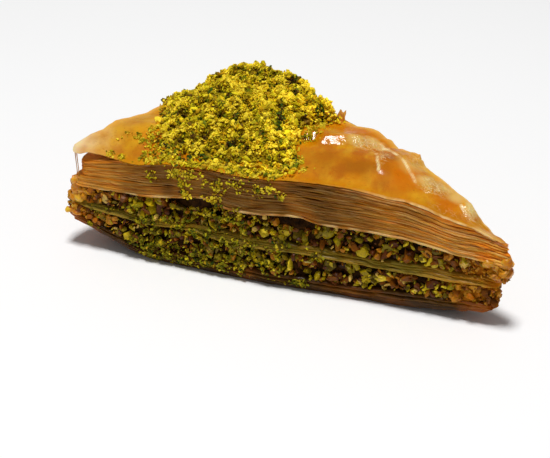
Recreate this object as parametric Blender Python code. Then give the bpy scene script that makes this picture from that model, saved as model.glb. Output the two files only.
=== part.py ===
"""A triangular slice of baklava.

Three stacks of filo leaves hold two layers of chopped pistachio, and a heap of ground
pistachio lies on the back corner. Crumbs from the heap cling to the long cut side.

Metres, +Z up. The long cut side faces -Y, and the origin is on the table, under the
middle of the slice. Every layer runs through the whole slice between two curved
surfaces, which share one plan and one crown.
"""

import math
import random

import bmesh
import bpy
from mathutils import Euler, Matrix, Vector, noise
from mathutils.bvhtree import BVHTree

MM = 0.001

# Plan corners, anticlockwise from the left end of the long cut side. The lower layers
# reach further to the left, and the upper ones further to the right, where they fan out.
LOWER_CORNERS = [Vector((-43.0, -15.7)) * MM, Vector((61.4, -15.7)) * MM, Vector((-15.7, 32.6)) * MM]
UPPER_CORNERS = [Vector((-38.7, -15.7)) * MM, Vector((61.0, -15.7)) * MM, Vector((-15.7, 32.6)) * MM]
LOWER_RADII = [2.0 * MM, 2.0 * MM, 3.0 * MM]
UPPER_RADII = [2.0 * MM, 1.0 * MM, 3.0 * MM]
# At each corner, the shares of the height between which the lower plan turns into the upper.
CORNER_STEP = [(0.70, 0.80), (0.30, 0.55), (0.30, 0.55)]
SIDE_BULGE = [1.8 * MM, 0.6 * MM, 0.6 * MM]
SIDE_STEPS = [18, 14, 9]
ARC_STEPS = 2

# Heights. A layer's boundary is at a fixed share of the way from the underside to the crown.
CROWN = 27.6 * MM
CORNER_DROP = [3.2 * MM, 4.3 * MM, 1.5 * MM]
CORNER_DROP_FROM = [0.40, 0.42, 0.60]
CORNER_DROP_UNTIL = 1.05
CORNER_LIFT = [6.6 * MM, 3.2 * MM, 1.5 * MM]
CORNER_LIFT_FROM = [0.52, 0.52, 0.62]
SHOULDER_DROP = [2.0 * MM, 0.7 * MM, 1.2 * MM]
SHOULDER_WIDTH = 12.0 * MM
RIGHT_SHOULDER_DROP = 1.8 * MM
RIGHT_SHOULDER_SPAN = (0.3, 0.9)
LAYER_WAVE = 0.45 * MM
WAVE_LENGTH = 17.0 * MM
GAP = 0.3 * MM

LAYER_SHARES = {
    "bottom_pastry": (0.0, 0.125),
    "lower_filling": (0.125, 0.305),
    "middle_pastry": (0.305, 0.430),
    "upper_filling": (0.430, 0.665),
    "top_pastry": (0.665, 1.0),
}

# Blisters of the top leaf: centre, radius and height.
BLISTERS = [
    (Vector((16.0, -3.0)) * MM, 9.0 * MM, 1.1 * MM),
    (Vector((29.5, -6.5)) * MM, 6.5 * MM, 1.2 * MM),
    (Vector((42.0, -11.0)) * MM, 6.0 * MM, 1.3 * MM),
    (Vector((52.0, -14.5)) * MM, 3.5 * MM, 0.8 * MM),
    (Vector((-27.0, -8.0)) * MM, 7.0 * MM, 0.8 * MM),
    (Vector((22.0, 9.0)) * MM, 6.0 * MM, 0.7 * MM),
]

# How far the leaves' edges stand in and out of the cut, and how deep the notch between two is.
LEAF_RAGGED = 0.45 * MM
LEAF_NOTCH = 0.55 * MM
FOOT_ROUNDING = 0.7 * MM
LEAF_COUNTS = {"bottom_pastry": 3, "middle_pastry": 3, "top_pastry": 9}

# At the left tip the top leaf reaches past the others, and all but its lowest tenth lifts off.
TOP_LEAF_REACH = 3.0 * MM
TOP_LEAF_LIFT = 2.6 * MM
TOP_LEAF_LIFT_FROM = 0.60
TOP_LEAF_LIFTED_PART = 0.9
TOP_LEAF_GAP_DEPTH = 3.5 * MM

# The edge of a leaf, as (part of the leaf's thickness, how far it stands back).
LEAF_RIMS = [(0.5, 0.0), (1.0, LEAF_NOTCH)]
TOP_LEAF_RIMS = [(0.2, 0.0), (0.8, 0.0), (1.0, 0.2 * MM)]
RAGGED_LENGTH = 6.0 * MM
LEAF_NOISE_STEP = 7.3
TIP_FROM = 0.82
TIP_RAGGED = 1.2
# A layer stands back less than this at the slice's sharp tips, from halfway into them.
TIP_INSET = 0.4 * MM
TIP_INSET_BY = 0.5

# The rings that close a layer over, as shares of its outline.
INNER_SCALES = [0.82, 0.62, 0.40]
CROWN_SCALES = [0.95, 0.88, 0.78, 0.65, 0.50, 0.34, 0.17]
BASE_SCALES = [0.90, 0.70, 0.45]

# Fillings: how far the core stands back from the cut. Its side is given as (share of the
# layer's thickness, how much further it stands back).
FILLING_RECESS = 1.7 * MM
FILLING_PROFILE = [(0.0, 0.5 * MM), (0.5, 0.0), (1.0, 0.7 * MM)]

# The chopped nuts that show at the cut. Widths and thicknesses are shares of the length.
NUT_COUNTS = {"lower_filling": 38, "upper_filling": 42}
NUT_RADII = (1.0 * MM, 2.6 * MM)
NUT_WIDTHS = (0.6, 0.9)
NUT_THICKNESSES = (0.5, 0.8)
# How far a nut's middle lies behind the cut, as a share of its radius, and a little more.
NUT_DEPTH = 0.7
NUT_DEPTH_SPREAD = 0.3 * MM
NUT_FIT = 0.85

# Crumbs of ground pistachio are a little longer than wide.
CRUMB_RADII = (0.5 * MM, 0.95 * MM)
CRUMB_LENGTHENING = 1.2

# How much a lump's radius varies over it, and how far it stays from the layers above and below.
LUMP_ROUGHNESS = (0.78, 1.12)
LUMP_CLEARANCES = (0.16 * MM, 0.40 * MM)
GOLDEN_RATIO = 0.6180340

# Torn scraps of the top leaf: place, facing, width, height and lean.
FLAKES = [
    (Vector((12.6, 12.4)) * MM, math.radians(-30.0), 4.0 * MM, 2.4 * MM, 0.9 * MM),
    (Vector((33.5, -0.8)) * MM, math.radians(-32.0), 5.0 * MM, 1.1 * MM, 0.8 * MM),
]
FLAKE_THICKNESS = 0.6 * MM
FLAKE_ROOT = 0.6 * MM
FLAKE_TAPER = 0.65

# The heap of ground pistachio on the back corner: its edge on the top leaf, anticlockwise.
HEAP_EDGE = [
    Vector((-16.5, -14.6)) * MM,
    Vector((-2.0, -15.6)) * MM,
    Vector((12.0, -14.6)) * MM,
    Vector((9.2, -3.5)) * MM,
    Vector((9.4, 5.0)) * MM,
    Vector((12.0, 12.2)) * MM,
    Vector((0.0, 20.8)) * MM,
    Vector((-13.6, 29.2)) * MM,
    Vector((-17.8, 26.8)) * MM,
    Vector((-22.0, 18.0)) * MM,
    Vector((-26.2, 8.6)) * MM,
    Vector((-22.0, -4.0)) * MM,
]
HEAP_EDGE_STEPS = 4
HEAP_EDGE_WANDER = 0.05
HEAP_SCALES = [0.95, 0.88, 0.79, 0.69, 0.58, 0.47, 0.36, 0.24, 0.12]
HEAP_UNDER_SCALES = [0.85, 0.62, 0.35]
HEAP_GAP = 0.4 * MM

# Its thickness: at the rim, at the peak, and as shares of the peak at the front and the left.
HEAP_RIM = 0.8 * MM
HEAP_RIM_REACH = 0.20
HEAP_PEAK = 5.6 * MM
HEAP_FRONT_SHARE = 0.06
HEAP_FRONT_TO_BACK = (-15.0 * MM, 9.0 * MM)
HEAP_LEFT_SHARE = 0.60
HEAP_LEFT_TO_RIGHT = (-26.0 * MM, 2.0 * MM)
SWELL_LENGTH = 7.0 * MM
SWELL_SHARE = 0.2
CRUMB_RELIEF = 1.3 * MM
CRUMB_LENGTH = 1.7 * MM
# The relief fades out over this share of the way to the rim, where the rings lie close together.
CRUMB_RELIEF_FULL_AT = 0.6
HEAP_CRUMBS = 36
HEAP_CRUMB_REACH = 0.97

# Crumbs on the long cut side: how many on each layer, and where along it they fell.
CUT_CRUMBS = {
    "top_pastry": 16,
    "upper_filling": 6,
    "middle_pastry": 6,
    "lower_filling": 6,
    "bottom_pastry": 6,
}
CUT_CRUMB_SPAN = (-25.0 * MM, 16.0 * MM)
CUT_CRUMB_RISES = (0.30, 0.72)
CUT_CRUMB_LAYER_SHARE = 0.28

# Crumbs on the left of the top leaf.
CROWN_CRUMBS = 8
CROWN_CRUMB_AREA = (Vector((-34.0, -13.0)) * MM, Vector((-24.0, -2.0)) * MM)
CROWN_CRUMB_SHARE = 0.8

SEED = 8
SHARP_ANGLE = math.radians(38.0)

# Colour (linear RGB) and roughness of each material.
FINISHES = {
    "bottom_pastry": ((0.20, 0.075, 0.015), 0.45),
    "lower_filling": ((0.22, 0.17, 0.03), 0.60),
    "middle_pastry": ((0.30, 0.20, 0.055), 0.45),
    "upper_filling": ((0.28, 0.21, 0.035), 0.60),
    "top_pastry": ((0.68, 0.31, 0.055), 0.30),
    "pistachio_heap": ((0.45, 0.35, 0.03), 0.75),
}


def smooth_step(low, high, value):
    share = min(max((value - low) / (high - low), 0.0), 1.0)
    return share * share * (3.0 - 2.0 * share)


def rounded_plan(corners, radii, side_steps, bulges):
    """Points and outward normals round a plan with curved corners and slightly full sides."""
    arcs = []
    for k, corner in enumerate(corners):
        to_last = (corners[k - 1] - corner).normalized()
        to_next = (corners[(k + 1) % len(corners)] - corner).normalized()
        half = to_last.angle(to_next) / 2.0
        middle = (to_last + to_next).normalized()
        centre = corner + middle * (radii[k] / math.sin(half))
        start = to_last.orthogonal()
        if start.dot(middle) > 0.0:
            start.negate()
        turn = math.pi - 2.0 * half
        arc = []
        for step in range(ARC_STEPS + 1):
            angle = turn * step / ARC_STEPS
            normal = Vector((
                start.x * math.cos(angle) - start.y * math.sin(angle),
                start.x * math.sin(angle) + start.y * math.cos(angle),
            ))
            arc.append((centre + normal * radii[k], normal))
        arcs.append(arc)
    ring = []
    for k, arc in enumerate(arcs):
        start, normal = arc[-1]
        end = arcs[(k + 1) % len(arcs)][0][0]
        ring += arc
        for step in range(1, side_steps[k]):
            share = step / side_steps[k]
            fullness = bulges[k] * 4.0 * share * (1.0 - share)
            ring.append((start.lerp(end, share) + normal * fullness, normal))
    return ring


def towards_corner(point, corner):
    """0 at the origin, 1 at the corner."""
    return point.dot(corner) / corner.length_squared


def side_distance(point, k):
    """Distance inwards from one side of the upper plan."""
    corner = UPPER_CORNERS[k]
    along = (UPPER_CORNERS[(k + 1) % 3] - corner).normalized()
    offset = point - corner
    return along.x * offset.y - along.y * offset.x


def underside(point):
    height = 0.0
    for corner, lift, start in zip(LOWER_CORNERS, CORNER_LIFT, CORNER_LIFT_FROM):
        height += lift * smooth_step(start, 1.0, towards_corner(point, corner))
    return height


def crown(point):
    height = CROWN
    for corner, drop, start in zip(UPPER_CORNERS, CORNER_DROP, CORNER_DROP_FROM):
        height -= drop * smooth_step(start, CORNER_DROP_UNTIL, towards_corner(point, corner))
    rightwards = smooth_step(*RIGHT_SHOULDER_SPAN, towards_corner(point, UPPER_CORNERS[1]))
    for k, drop in enumerate(SHOULDER_DROP):
        if k == 1:
            drop += RIGHT_SHOULDER_DROP * rightwards
        height -= drop * (1.0 - smooth_step(0.0, SHOULDER_WIDTH, side_distance(point, k)))
    for centre, radius, rise in BLISTERS:
        height += rise * math.exp(-((point - centre).length / radius) ** 2)
    return height


def layer_height(share, point):
    """Height of the surface that lies at a share of the way up the slice."""
    low = underside(point)
    wave = noise.noise(Vector((point.x / WAVE_LENGTH, point.y / WAVE_LENGTH, 4.0 * share)))
    return low + share * (crown(point) - low) + 4.0 * share * (1.0 - share) * LAYER_WAVE * wave


def layer_point(place, name, rise):
    """The point over a place, at a share of the way up through a layer, clear of its neighbours."""
    low, high = LAYER_SHARES[name]
    bottom = layer_height(low, place) + (GAP / 2.0 if low > 0.0 else 0.0)
    top = layer_height(high, place) - (GAP / 2.0 if high < 1.0 else 0.0)
    return Vector((place.x, place.y, bottom + (top - bottom) * rise))


def plan_at(share):
    """Points and outward normals round the slice at a share of the height."""
    corners, radii = [], []
    for k, (lower_until, upper_from) in enumerate(CORNER_STEP):
        upper = smooth_step(lower_until, upper_from, share)
        corners.append(LOWER_CORNERS[k].lerp(UPPER_CORNERS[k], upper))
        radii.append(LOWER_RADII[k] + (UPPER_RADII[k] - LOWER_RADII[k]) * upper)
    return rounded_plan(corners, radii, SIDE_STEPS, SIDE_BULGE)


def inner_rings(share, scales):
    """Smaller copies of the plan. Two layers that meet at a share have the same ones."""
    outline = [place for place, _ in plan_at(share)]
    return [[place * scale for place in outline] for scale in scales]


def cut_places(share, inset, leaf=0, left_reach=0.0):
    """A leaf's edge in plan: a little in or out from place to place, more so at the right tip."""
    leftwards = UPPER_CORNERS[0].normalized()
    places = []
    for place, normal in plan_at(share):
        spot = Vector((place.x, place.y, 0.0)) / RAGGED_LENGTH
        wander = noise.noise(spot + Vector((0.0, 0.0, LEAF_NOISE_STEP * leaf)))
        left_tip, right_tip, back_tip = [
            smooth_step(TIP_FROM, 1.0, towards_corner(place, corner)) for corner in UPPER_CORNERS
        ]
        ragged = LEAF_RAGGED * (1.0 + TIP_RAGGED * right_tip) * wander
        at_tip = smooth_step(0.0, TIP_INSET_BY, left_tip + right_tip + back_tip)
        back = inset + (min(inset, TIP_INSET) - inset) * at_tip
        places.append(place + normal * (ragged - back) + leftwards * (left_reach * left_tip))
    return places


def close_end(mesh, loop, downwards, flat=False):
    order = list(reversed(loop)) if downwards else loop
    if flat:
        mesh.faces.new(order)
        return
    pole = mesh.verts.new(sum((v.co for v in loop), Vector()) / len(loop))
    for here, ahead in zip(order, order[1:] + order[:1]):
        mesh.faces.new((pole, here, ahead))


def loft(rings, flat_base=False):
    """A closed surface through rings that run outwards below, up the side and inwards on top."""
    mesh = bmesh.new()
    loops = [[mesh.verts.new(point) for point in ring] for ring in rings]
    for low, high in zip(loops, loops[1:]):
        for k in range(len(low)):
            ahead = (k + 1) % len(low)
            mesh.faces.new((low[k], low[ahead], high[ahead], high[k]))
    close_end(mesh, loops[0], downwards=True, flat=flat_base)
    close_end(mesh, loops[-1], downwards=False)
    bmesh.ops.triangulate(mesh, faces=mesh.faces)
    return mesh


def new_object(name, mesh):
    data = bpy.data.meshes.new(name)
    mesh.to_mesh(data)
    mesh.free()
    return bpy.data.objects.new(name, data)


def leaf_point(place, name, rise):
    """A point of a layer, with the top leaf's left tip lifted off the leaves below it."""
    point = layer_point(place, name, rise)
    if name == "top_pastry" and rise > 1.0 - TOP_LEAF_LIFTED_PART / LEAF_COUNTS[name]:
        left_tip = smooth_step(TOP_LEAF_LIFT_FROM, 1.0, towards_corner(place, UPPER_CORNERS[0]))
        point.z += TOP_LEAF_LIFT * left_tip
    return point


def capped_layer(name, sides, foot, head):
    """A layer from its side rings, each (places, rise), closed over by rings that shrink inwards."""
    low, high = LAYER_SHARES[name]
    under = [(places, 0.0) for places in reversed(inner_rings(low, foot))]
    over = [(places, 1.0) for places in inner_rings(high, head)]
    rings = [[leaf_point(place, name, rise) for place in places] for places, rise in under + sides + over]
    return new_object(name, loft(rings, flat_base=name == "bottom_pastry"))


def pastry(name):
    """A stack of filo leaves. Each leaf's edge is a ridge with a notch above it."""
    low, high = LAYER_SHARES[name]
    leaves = LEAF_COUNTS[name]
    foot_inset = FOOT_ROUNDING if name == "bottom_pastry" else LEAF_NOTCH
    sides = [(cut_places(low, foot_inset), 0.0)]
    for leaf in range(leaves):
        is_top_leaf = high == 1.0 and leaf == leaves - 1
        is_under_it = high == 1.0 and leaf == leaves - 2
        for part_up, inset in TOP_LEAF_RIMS if is_top_leaf else LEAF_RIMS:
            rise = (leaf + part_up) / leaves
            reach = TOP_LEAF_REACH if is_top_leaf else 0.0
            if is_under_it and part_up == 1.0:
                reach = -TOP_LEAF_GAP_DEPTH
            sides.append((cut_places(low + (high - low) * rise, inset, leaf, reach), rise))
    foot = BASE_SCALES if name == "bottom_pastry" else INNER_SCALES
    head = CROWN_SCALES if name == "top_pastry" else INNER_SCALES
    return capped_layer(name, sides, foot, head)


def filling(name, dice):
    """A core that stands back from the cut, with the chopped nuts that show fused on."""
    low, high = LAYER_SHARES[name]
    sides = []
    for rise, extra in FILLING_PROFILE:
        sides.append((cut_places(low + (high - low) * rise, FILLING_RECESS + extra), rise))
    core = capped_layer(name, sides, INNER_SCALES, INNER_SCALES)
    rim = plan_at((low + high) / 2.0)
    sizes = sorted((dice.uniform(*NUT_RADII) for _ in range(NUT_COUNTS[name])), reverse=True)
    nuts = []
    for k, size in enumerate(sizes):
        # Steps of the golden ratio spread the largest nuts evenly round the rim.
        station = (k * GOLDEN_RATIO) % 1.0 * len(rim)
        place, normal = rim[int(station)]
        ahead = rim[(int(station) + 1) % len(rim)][0]
        depth = size * NUT_DEPTH + dice.uniform(0.0, NUT_DEPTH_SPREAD)
        spot = place.lerp(ahead, station % 1.0) - normal * depth
        nuts.append(nut(spot, name, size, dice))
    return fused(core, nuts)


def roughened(mesh, centre, radii, dice):
    """Makes a unit ball a rough lump of its own at a place."""
    turn = Euler([dice.uniform(0.0, math.tau) for _ in range(3)]).to_matrix()
    for vertex in mesh.verts:
        rough = vertex.co * dice.uniform(*LUMP_ROUGHNESS)
        vertex.co = centre + turn @ Vector([r * c for r, c in zip(radii, rough)])
    return mesh


def crumb_mesh(centre, size, dice):
    mesh = bmesh.new()
    bmesh.ops.create_uvsphere(mesh, u_segments=4, v_segments=2, radius=1.0)
    return roughened(mesh, centre, (size * CRUMB_LENGTHENING, size, size), dice)


def kept_in_layer(mesh, name, dice):
    """Flattens a lump where it would press into the layer below or above its own."""
    clearance = dice.uniform(*LUMP_CLEARANCES)
    for vertex in mesh.verts:
        place = vertex.co.xy
        lowest = layer_point(place, name, 0.0).z + clearance
        highest = layer_point(place, name, 1.0).z - clearance
        vertex.co.z = min(max(vertex.co.z, lowest), highest)
    return mesh


def nut(spot, name, size, dice):
    """A chopped nut at a height where it fits between the pastry below and above it."""
    thickness = layer_point(spot, name, 1.0).z - layer_point(spot, name, 0.0).z
    margin = min(NUT_FIT * size / thickness, 0.5)
    centre = layer_point(spot, name, dice.uniform(margin, 1.0 - margin))
    radii = (size, size * dice.uniform(*NUT_WIDTHS), size * dice.uniform(*NUT_THICKNESSES))
    mesh = bmesh.new()
    bmesh.ops.create_icosphere(mesh, subdivisions=1, radius=1.0)
    return new_object("nut", kept_in_layer(roughened(mesh, centre, radii, dice), name, dice))


def fused(base, lumps):
    """One Boolean union joins the lumps to the base, and what it leaves loose is dropped."""
    group = bpy.data.collections.new(base.name + "_lumps")
    bpy.context.scene.collection.children.link(group)
    bpy.context.scene.collection.objects.link(base)
    for lump in lumps:
        group.objects.link(lump)
    union = base.modifiers.new("join lumps", "BOOLEAN")
    union.operation = "UNION"
    union.operand_type = "COLLECTION"
    union.collection = group
    joined = bpy.data.meshes.new_from_object(base.evaluated_get(bpy.context.evaluated_depsgraph_get()))
    base.modifiers.clear()
    base.data = whole_body(joined)
    for lump in lumps:
        bpy.data.objects.remove(lump)
    bpy.data.collections.remove(group)
    bpy.context.scene.collection.objects.unlink(base)
    return base


def whole_body(data):
    """Keeps the largest closed shell: hollows sealed by the union are filled and scraps dropped."""
    mesh = bmesh.new()
    mesh.from_mesh(data)
    left, shells = set(mesh.verts), []
    while left:
        shell, reached = set(), [left.pop()]
        while reached:
            vertex = reached.pop()
            shell.add(vertex)
            near = {edge.other_vert(vertex) for edge in vertex.link_edges} & left
            left -= near
            reached.extend(near)
        shells.append(shell)
    shells.sort(key=len, reverse=True)
    bmesh.ops.delete(mesh, geom=[v for shell in shells[1:] for v in shell], context="VERTS")
    mesh.to_mesh(data)
    mesh.free()
    return data


def surface_of(data_object):
    mesh = bmesh.new()
    mesh.from_mesh(data_object.data)
    tree = BVHTree.FromBMesh(mesh)
    mesh.free()
    return tree


def on_top(tree, place):
    """Height of the surface under a place, or None beside it."""
    hit = tree.ray_cast(Vector((place.x, place.y, 2.0 * CROWN)), Vector((0.0, 0.0, -1.0)))[0]
    return hit.z if hit else None


def with_cut_crumbs(layer, dice):
    """Crumbs of ground pistachio that fell down the long cut side and stuck there."""
    name = layer.name
    tree = surface_of(layer)
    low, high = LAYER_SHARES[name]
    crumbs = []
    for k in range(CUT_CRUMBS[name]):
        share = (k * GOLDEN_RATIO + low) % 1.0
        x = CUT_CRUMB_SPAN[0] + (CUT_CRUMB_SPAN[1] - CUT_CRUMB_SPAN[0]) * share
        front = Vector((x, LOWER_CORNERS[0].y))
        height = layer_point(front, name, dice.uniform(*CUT_CRUMB_RISES)).z
        hit = tree.ray_cast(Vector((x, 3.0 * front.y, height)), Vector((0.0, 1.0, 0.0)))[0]
        size = min(dice.uniform(*CRUMB_RADII), CUT_CRUMB_LAYER_SHARE * (high - low) * CROWN)
        if hit:
            crumb = kept_in_layer(crumb_mesh(hit, size, dice), name, dice)
            crumbs.append(new_object("crumb", crumb))
    return fused(layer, crumbs)


def crown_crumbs(tree, dice):
    """A few crumbs that lie apart from the heap, on the left of the top leaf."""
    low, high = CROWN_CRUMB_AREA
    crumbs = []
    for _ in range(CROWN_CRUMBS):
        place = Vector((dice.uniform(low.x, high.x), dice.uniform(low.y, high.y)))
        height = on_top(tree, place)
        if height:
            size = dice.uniform(*CRUMB_RADII) * CROWN_CRUMB_SHARE
            crumbs.append(new_object("crumb", crumb_mesh(Vector((*place, height)), size, dice)))
    return crumbs


def flake(foot, facing, width, height, lean):
    """A torn scrap of leaf that stands up from the top: a thin sheet that curls and narrows."""
    mesh = bmesh.new()
    bmesh.ops.create_cube(mesh, size=1.0)
    upright = [edge for edge in mesh.edges if edge.verts[0].co.z != edge.verts[1].co.z]
    bmesh.ops.subdivide_edges(mesh, edges=upright, cuts=2)
    turn = Matrix.Rotation(facing, 3, "Z")
    for vertex in mesh.verts:
        up = vertex.co.z + 0.5
        across = vertex.co.x * width * (1.0 - FLAKE_TAPER * up)
        through = vertex.co.y * FLAKE_THICKNESS + lean * up * up
        vertex.co = foot + turn @ Vector((across, through, height * up - FLAKE_ROOT))
    return new_object("flake", mesh)


def top_pastry(dice):
    """The thick upper stack, with torn flakes on its crown and crumbs stuck to it."""
    layer = pastry("top_pastry")
    tree = surface_of(layer)
    lumps = crown_crumbs(tree, dice)
    for place, facing, width, height, lean in FLAKES:
        foot = Vector((place.x, place.y, on_top(tree, place)))
        lumps.append(flake(foot, facing, width, height, lean))
    return with_cut_crumbs(fused(layer, lumps), dice)


def scaled(places, scale):
    middle = sum(places, Vector((0.0, 0.0))) / len(places)
    return [middle + (place - middle) * scale for place in places]


def heap_thickness(place, inwards):
    """Steep at the rim, full over the back corner and thin towards the front."""
    back = smooth_step(*HEAP_FRONT_TO_BACK, place.y)
    right = smooth_step(*HEAP_LEFT_TO_RIGHT, place.x)
    peak = HEAP_PEAK * (HEAP_LEFT_SHARE + (1.0 - HEAP_LEFT_SHARE) * right)
    peak *= HEAP_FRONT_SHARE + (1.0 - HEAP_FRONT_SHARE) * back
    rim = 1.0 - (1.0 - min(inwards / HEAP_RIM_REACH, 1.0)) ** 2
    relief = CRUMB_RELIEF * smooth_step(0.0, CRUMB_RELIEF_FULL_AT, 1.0 - inwards)
    bump = noise.noise(Vector((place.x, place.y, 0.0)) / CRUMB_LENGTH)
    swell = noise.noise(Vector((place.x, place.y, 0.0)) / SWELL_LENGTH)
    return HEAP_RIM + rim * (peak * (1.0 + SWELL_SHARE * swell) + relief * bump)


def closed_curve(points, steps):
    """Points along a smooth closed curve through the given ones."""
    curve = []
    for k, start in enumerate(points):
        before, end, after = points[k - 1], points[(k + 1) % len(points)], points[(k + 2) % len(points)]
        for step in range(steps):
            t = step / steps
            bend = (end - before) * t + (before * 2.0 - start * 5.0 + end * 4.0 - after) * t ** 2
            curve.append(start + (bend + (start * 3.0 - before - end * 3.0 + after) * t ** 3) * 0.5)
    return curve


def pistachio_heap(pastry_top, dice):
    """Ground pistachio: a rough core that lies on the top leaf, with the larger crumbs fused on."""
    curve = closed_curve(HEAP_EDGE, HEAP_EDGE_STEPS)
    middle = sum(curve, Vector((0.0, 0.0))) / len(curve)
    edge = [middle + (place - middle) * (1.0 + dice.uniform(-HEAP_EDGE_WANDER, 0.0)) for place in curve]

    def resting(place):
        return on_top(pastry_top, place) + HEAP_GAP

    under = [scaled(edge, scale) for scale in reversed(HEAP_UNDER_SCALES)] + [edge]
    rings = [[Vector((p.x, p.y, resting(p))) for p in places] for places in under]
    for scale in [1.0] + HEAP_SCALES:
        places = scaled(edge, scale)
        rings.append([Vector((p.x, p.y, resting(p) + heap_thickness(p, 1.0 - scale))) for p in places])
    core = new_object("pistachio_heap", loft(rings))
    tree = surface_of(core)
    crumbs = []
    for k in range(HEAP_CRUMBS):
        reach = math.sqrt((k + 0.5) / HEAP_CRUMBS) * HEAP_CRUMB_REACH
        place = scaled(edge, reach)[int(k * GOLDEN_RATIO % 1.0 * len(edge))]
        size = dice.uniform(*CRUMB_RADII)
        height = max(on_top(tree, place), resting(place) + size)
        crumb = crumb_mesh(Vector((place.x, place.y, height)), size, dice)
        crumbs.append(new_object("crumb", crumb))
    return fused(core, crumbs)


def finish(layer):
    """Gives a layer its material, and shades its round forms smooth."""
    colour, roughness = FINISHES[layer.name]
    material = bpy.data.materials.new(layer.name)
    material.use_nodes = True
    shader = material.node_tree.nodes["Principled BSDF"]
    shader.inputs["Base Color"].default_value = (*colour, 1.0)
    shader.inputs["Roughness"].default_value = roughness
    shader.inputs["Metallic"].default_value = 0.0
    layer.data.materials.append(material)
    layer.data.shade_smooth()
    layer.data.set_sharp_from_angle(angle=SHARP_ANGLE)
    return layer


def clear_scene():
    for old in list(bpy.data.objects):
        bpy.data.objects.remove(old)


def main():
    clear_scene()
    dice = random.Random(SEED)
    layers = [
        with_cut_crumbs(pastry("bottom_pastry"), dice),
        with_cut_crumbs(filling("lower_filling", dice), dice),
        with_cut_crumbs(pastry("middle_pastry"), dice),
        with_cut_crumbs(filling("upper_filling", dice), dice),
        top_pastry(dice),
    ]
    layers.append(pistachio_heap(surface_of(layers[-1]), dice))
    slice_parts = bpy.data.collections.new("baklava")
    bpy.context.scene.collection.children.link(slice_parts)
    for layer in layers:
        slice_parts.objects.link(finish(layer))


main()
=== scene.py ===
import math

import bpy
import numpy as np
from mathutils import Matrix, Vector, noise
from mathutils.bvhtree import BVHTree


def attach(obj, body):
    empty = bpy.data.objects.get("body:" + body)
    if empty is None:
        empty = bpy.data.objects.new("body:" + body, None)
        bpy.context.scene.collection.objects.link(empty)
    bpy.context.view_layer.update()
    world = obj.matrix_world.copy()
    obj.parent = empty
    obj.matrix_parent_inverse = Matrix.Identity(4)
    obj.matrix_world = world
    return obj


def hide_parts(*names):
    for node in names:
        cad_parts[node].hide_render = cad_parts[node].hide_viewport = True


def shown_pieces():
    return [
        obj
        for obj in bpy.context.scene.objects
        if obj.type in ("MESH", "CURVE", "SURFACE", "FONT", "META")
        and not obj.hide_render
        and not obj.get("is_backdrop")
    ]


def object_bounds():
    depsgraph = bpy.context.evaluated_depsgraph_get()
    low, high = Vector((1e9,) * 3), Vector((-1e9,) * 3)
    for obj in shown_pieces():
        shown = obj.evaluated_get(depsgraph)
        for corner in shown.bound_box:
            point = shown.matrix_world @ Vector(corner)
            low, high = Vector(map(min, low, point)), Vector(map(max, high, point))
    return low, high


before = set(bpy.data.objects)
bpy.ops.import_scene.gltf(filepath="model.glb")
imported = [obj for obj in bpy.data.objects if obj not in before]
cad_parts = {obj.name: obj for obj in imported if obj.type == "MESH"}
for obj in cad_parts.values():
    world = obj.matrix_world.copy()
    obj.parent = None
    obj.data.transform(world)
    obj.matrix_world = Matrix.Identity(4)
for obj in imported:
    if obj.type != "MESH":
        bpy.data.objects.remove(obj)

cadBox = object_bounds()
mm = 0.001  # the slice is worked out in millimetres and put into the meshes in metres

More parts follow.
